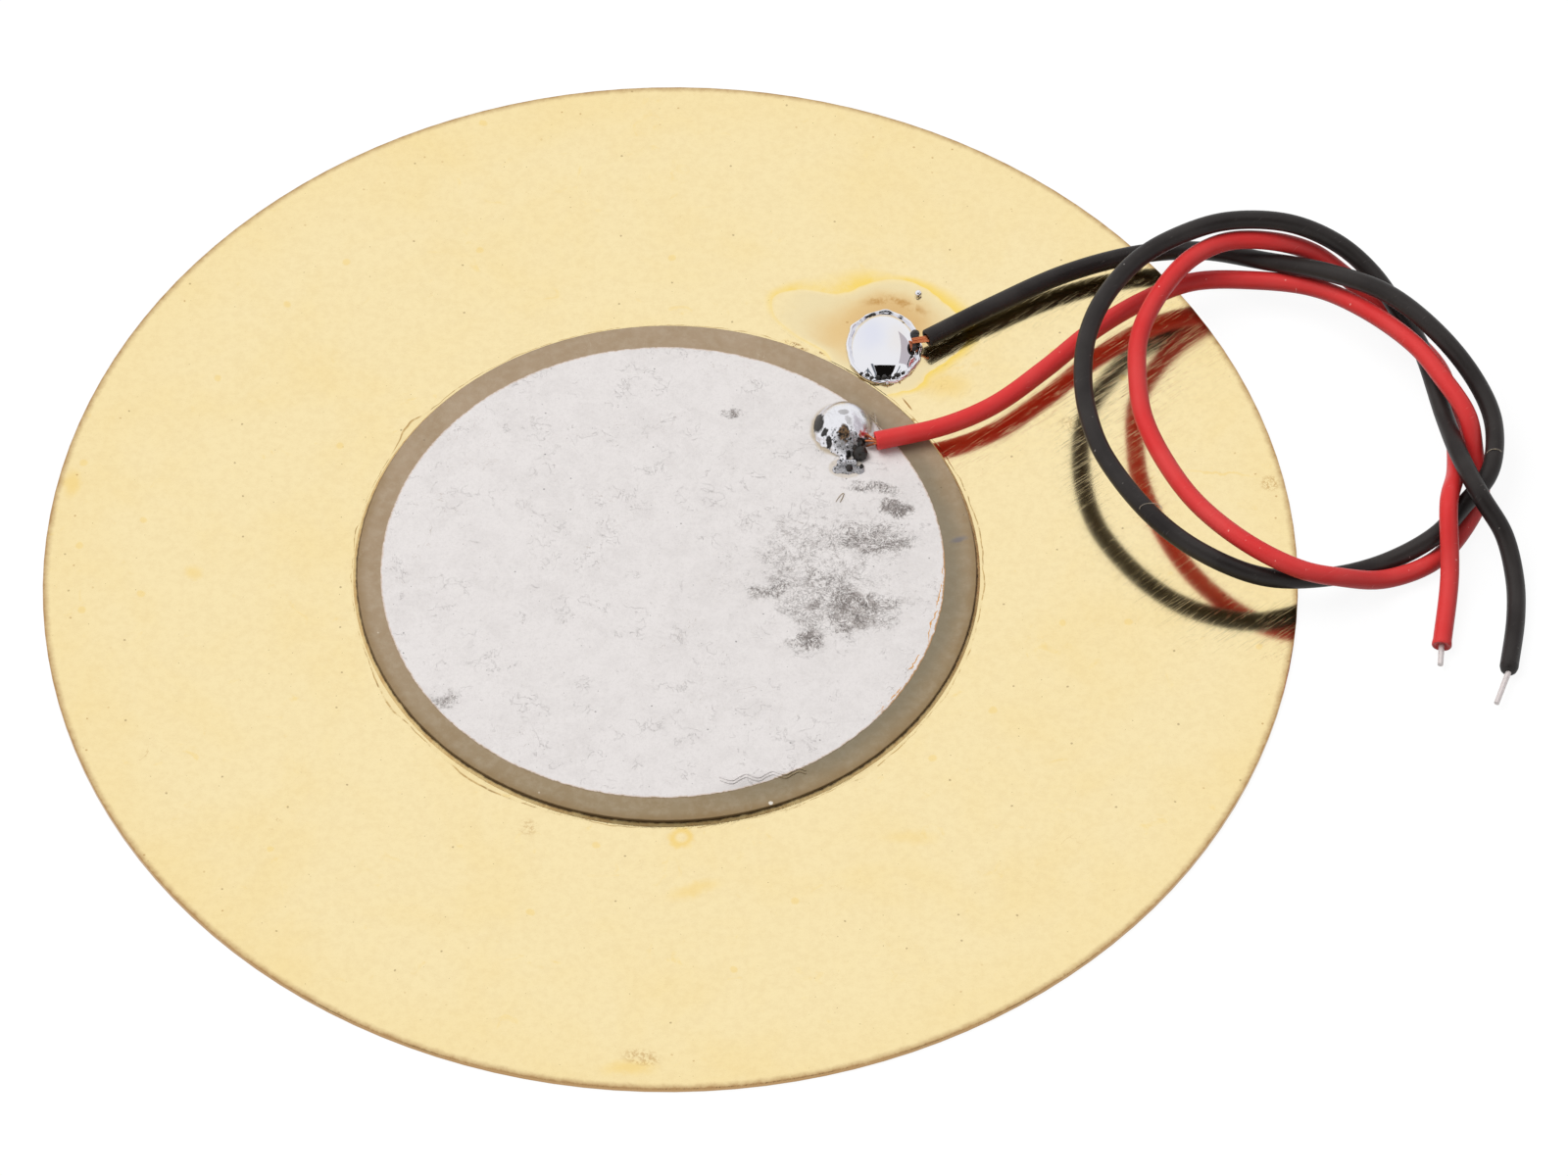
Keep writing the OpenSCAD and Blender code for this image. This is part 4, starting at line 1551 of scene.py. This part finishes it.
def build_cards():
    """The dark opening that the camera looks through, with pale folds beside it."""
    build_card("opening", (-0.13, -0.42), (0.19, -0.05), "#14110f")
    build_card("folds_left", (-0.75, -0.42), (-0.135, -0.03), "#46525c", "#ffffff", -0.2)
    build_card("folds_right", (0.195, -0.42), (0.85, -0.03), "#46525c", "#ffffff", 0.26)
    build_card("side_wall", (0.24, -0.02), (0.9, 0.5), "#cac3c8")


class PIEZO_OT_stage(bpy.types.Operator):
    """Set up the camera, the floor and the light"""

    bl_idname = "piezo.stage"
    bl_label = "Stage"

    def execute(self, context):
        build_camera()
        build_world()
        build_floor()
        build_lamp()
        build_cards()
        context.scene.view_settings.view_transform = "Standard"
        return {"FINISHED"}


class PIEZO_PT_panel(bpy.types.Panel):
    """Lists what the disc is built of, with its sizes and colours"""

    bl_idname = "PIEZO_PT_panel"
    bl_label = "Piezo Disc"
    bl_space_type = "VIEW_3D"
    bl_region_type = "UI"
    bl_category = "Piezo Disc"

    def draw(self, context):
        for group, _, operators in SECTIONS:
            box = self.layout.box()
            settings = getattr(context.scene, group)
            for name in settings.__annotations__:
                box.prop(settings, name)
            for operator in operators:
                box.operator(operator)


SECTIONS = (
    ("piezo_stage", PiezoStage, ("piezo.stage",)),
    ("piezo_leads", PiezoLeads, ("piezo.leads",)),
    ("piezo_plate", PiezoPlate, ("piezo.plate", "piezo.element", "piezo.glue")),
    ("piezo_solder", PiezoSolder, ("piezo.flux", "piezo.plate_joint", "piezo.print_joint")),
)
CLASSES = (
    PiezoStage, PiezoLeads, PiezoPlate, PiezoSolder,
    PIEZO_OT_stage, PIEZO_OT_leads, PIEZO_OT_plate, PIEZO_OT_element, PIEZO_OT_glue,
    PIEZO_OT_flux, PIEZO_OT_plate_joint, PIEZO_OT_print_joint, PIEZO_PT_panel,
)


def register():
    """Makes the settings, operators and panel known to Blender."""
    for each in CLASSES:
        bpy.utils.register_class(each)
    for name, settings, _ in SECTIONS:
        setattr(bpy.types.Scene, name, bpy.props.PointerProperty(type=settings))


def unregister():
    """Takes them away again."""
    for name, _, _ in SECTIONS:
        delattr(bpy.types.Scene, name)
    for each in reversed(CLASSES):
        bpy.utils.unregister_class(each)


def main():
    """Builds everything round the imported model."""
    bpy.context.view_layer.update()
    register()
    bpy.ops.piezo.stage()
    bpy.ops.piezo.leads()
    bpy.ops.piezo.plate()
    bpy.ops.piezo.element()
    bpy.ops.piezo.glue()
    bpy.ops.piezo.flux()
    bpy.ops.piezo.plate_joint()
    bpy.ops.piezo.print_joint()


if __name__ == "__main__":
    main()
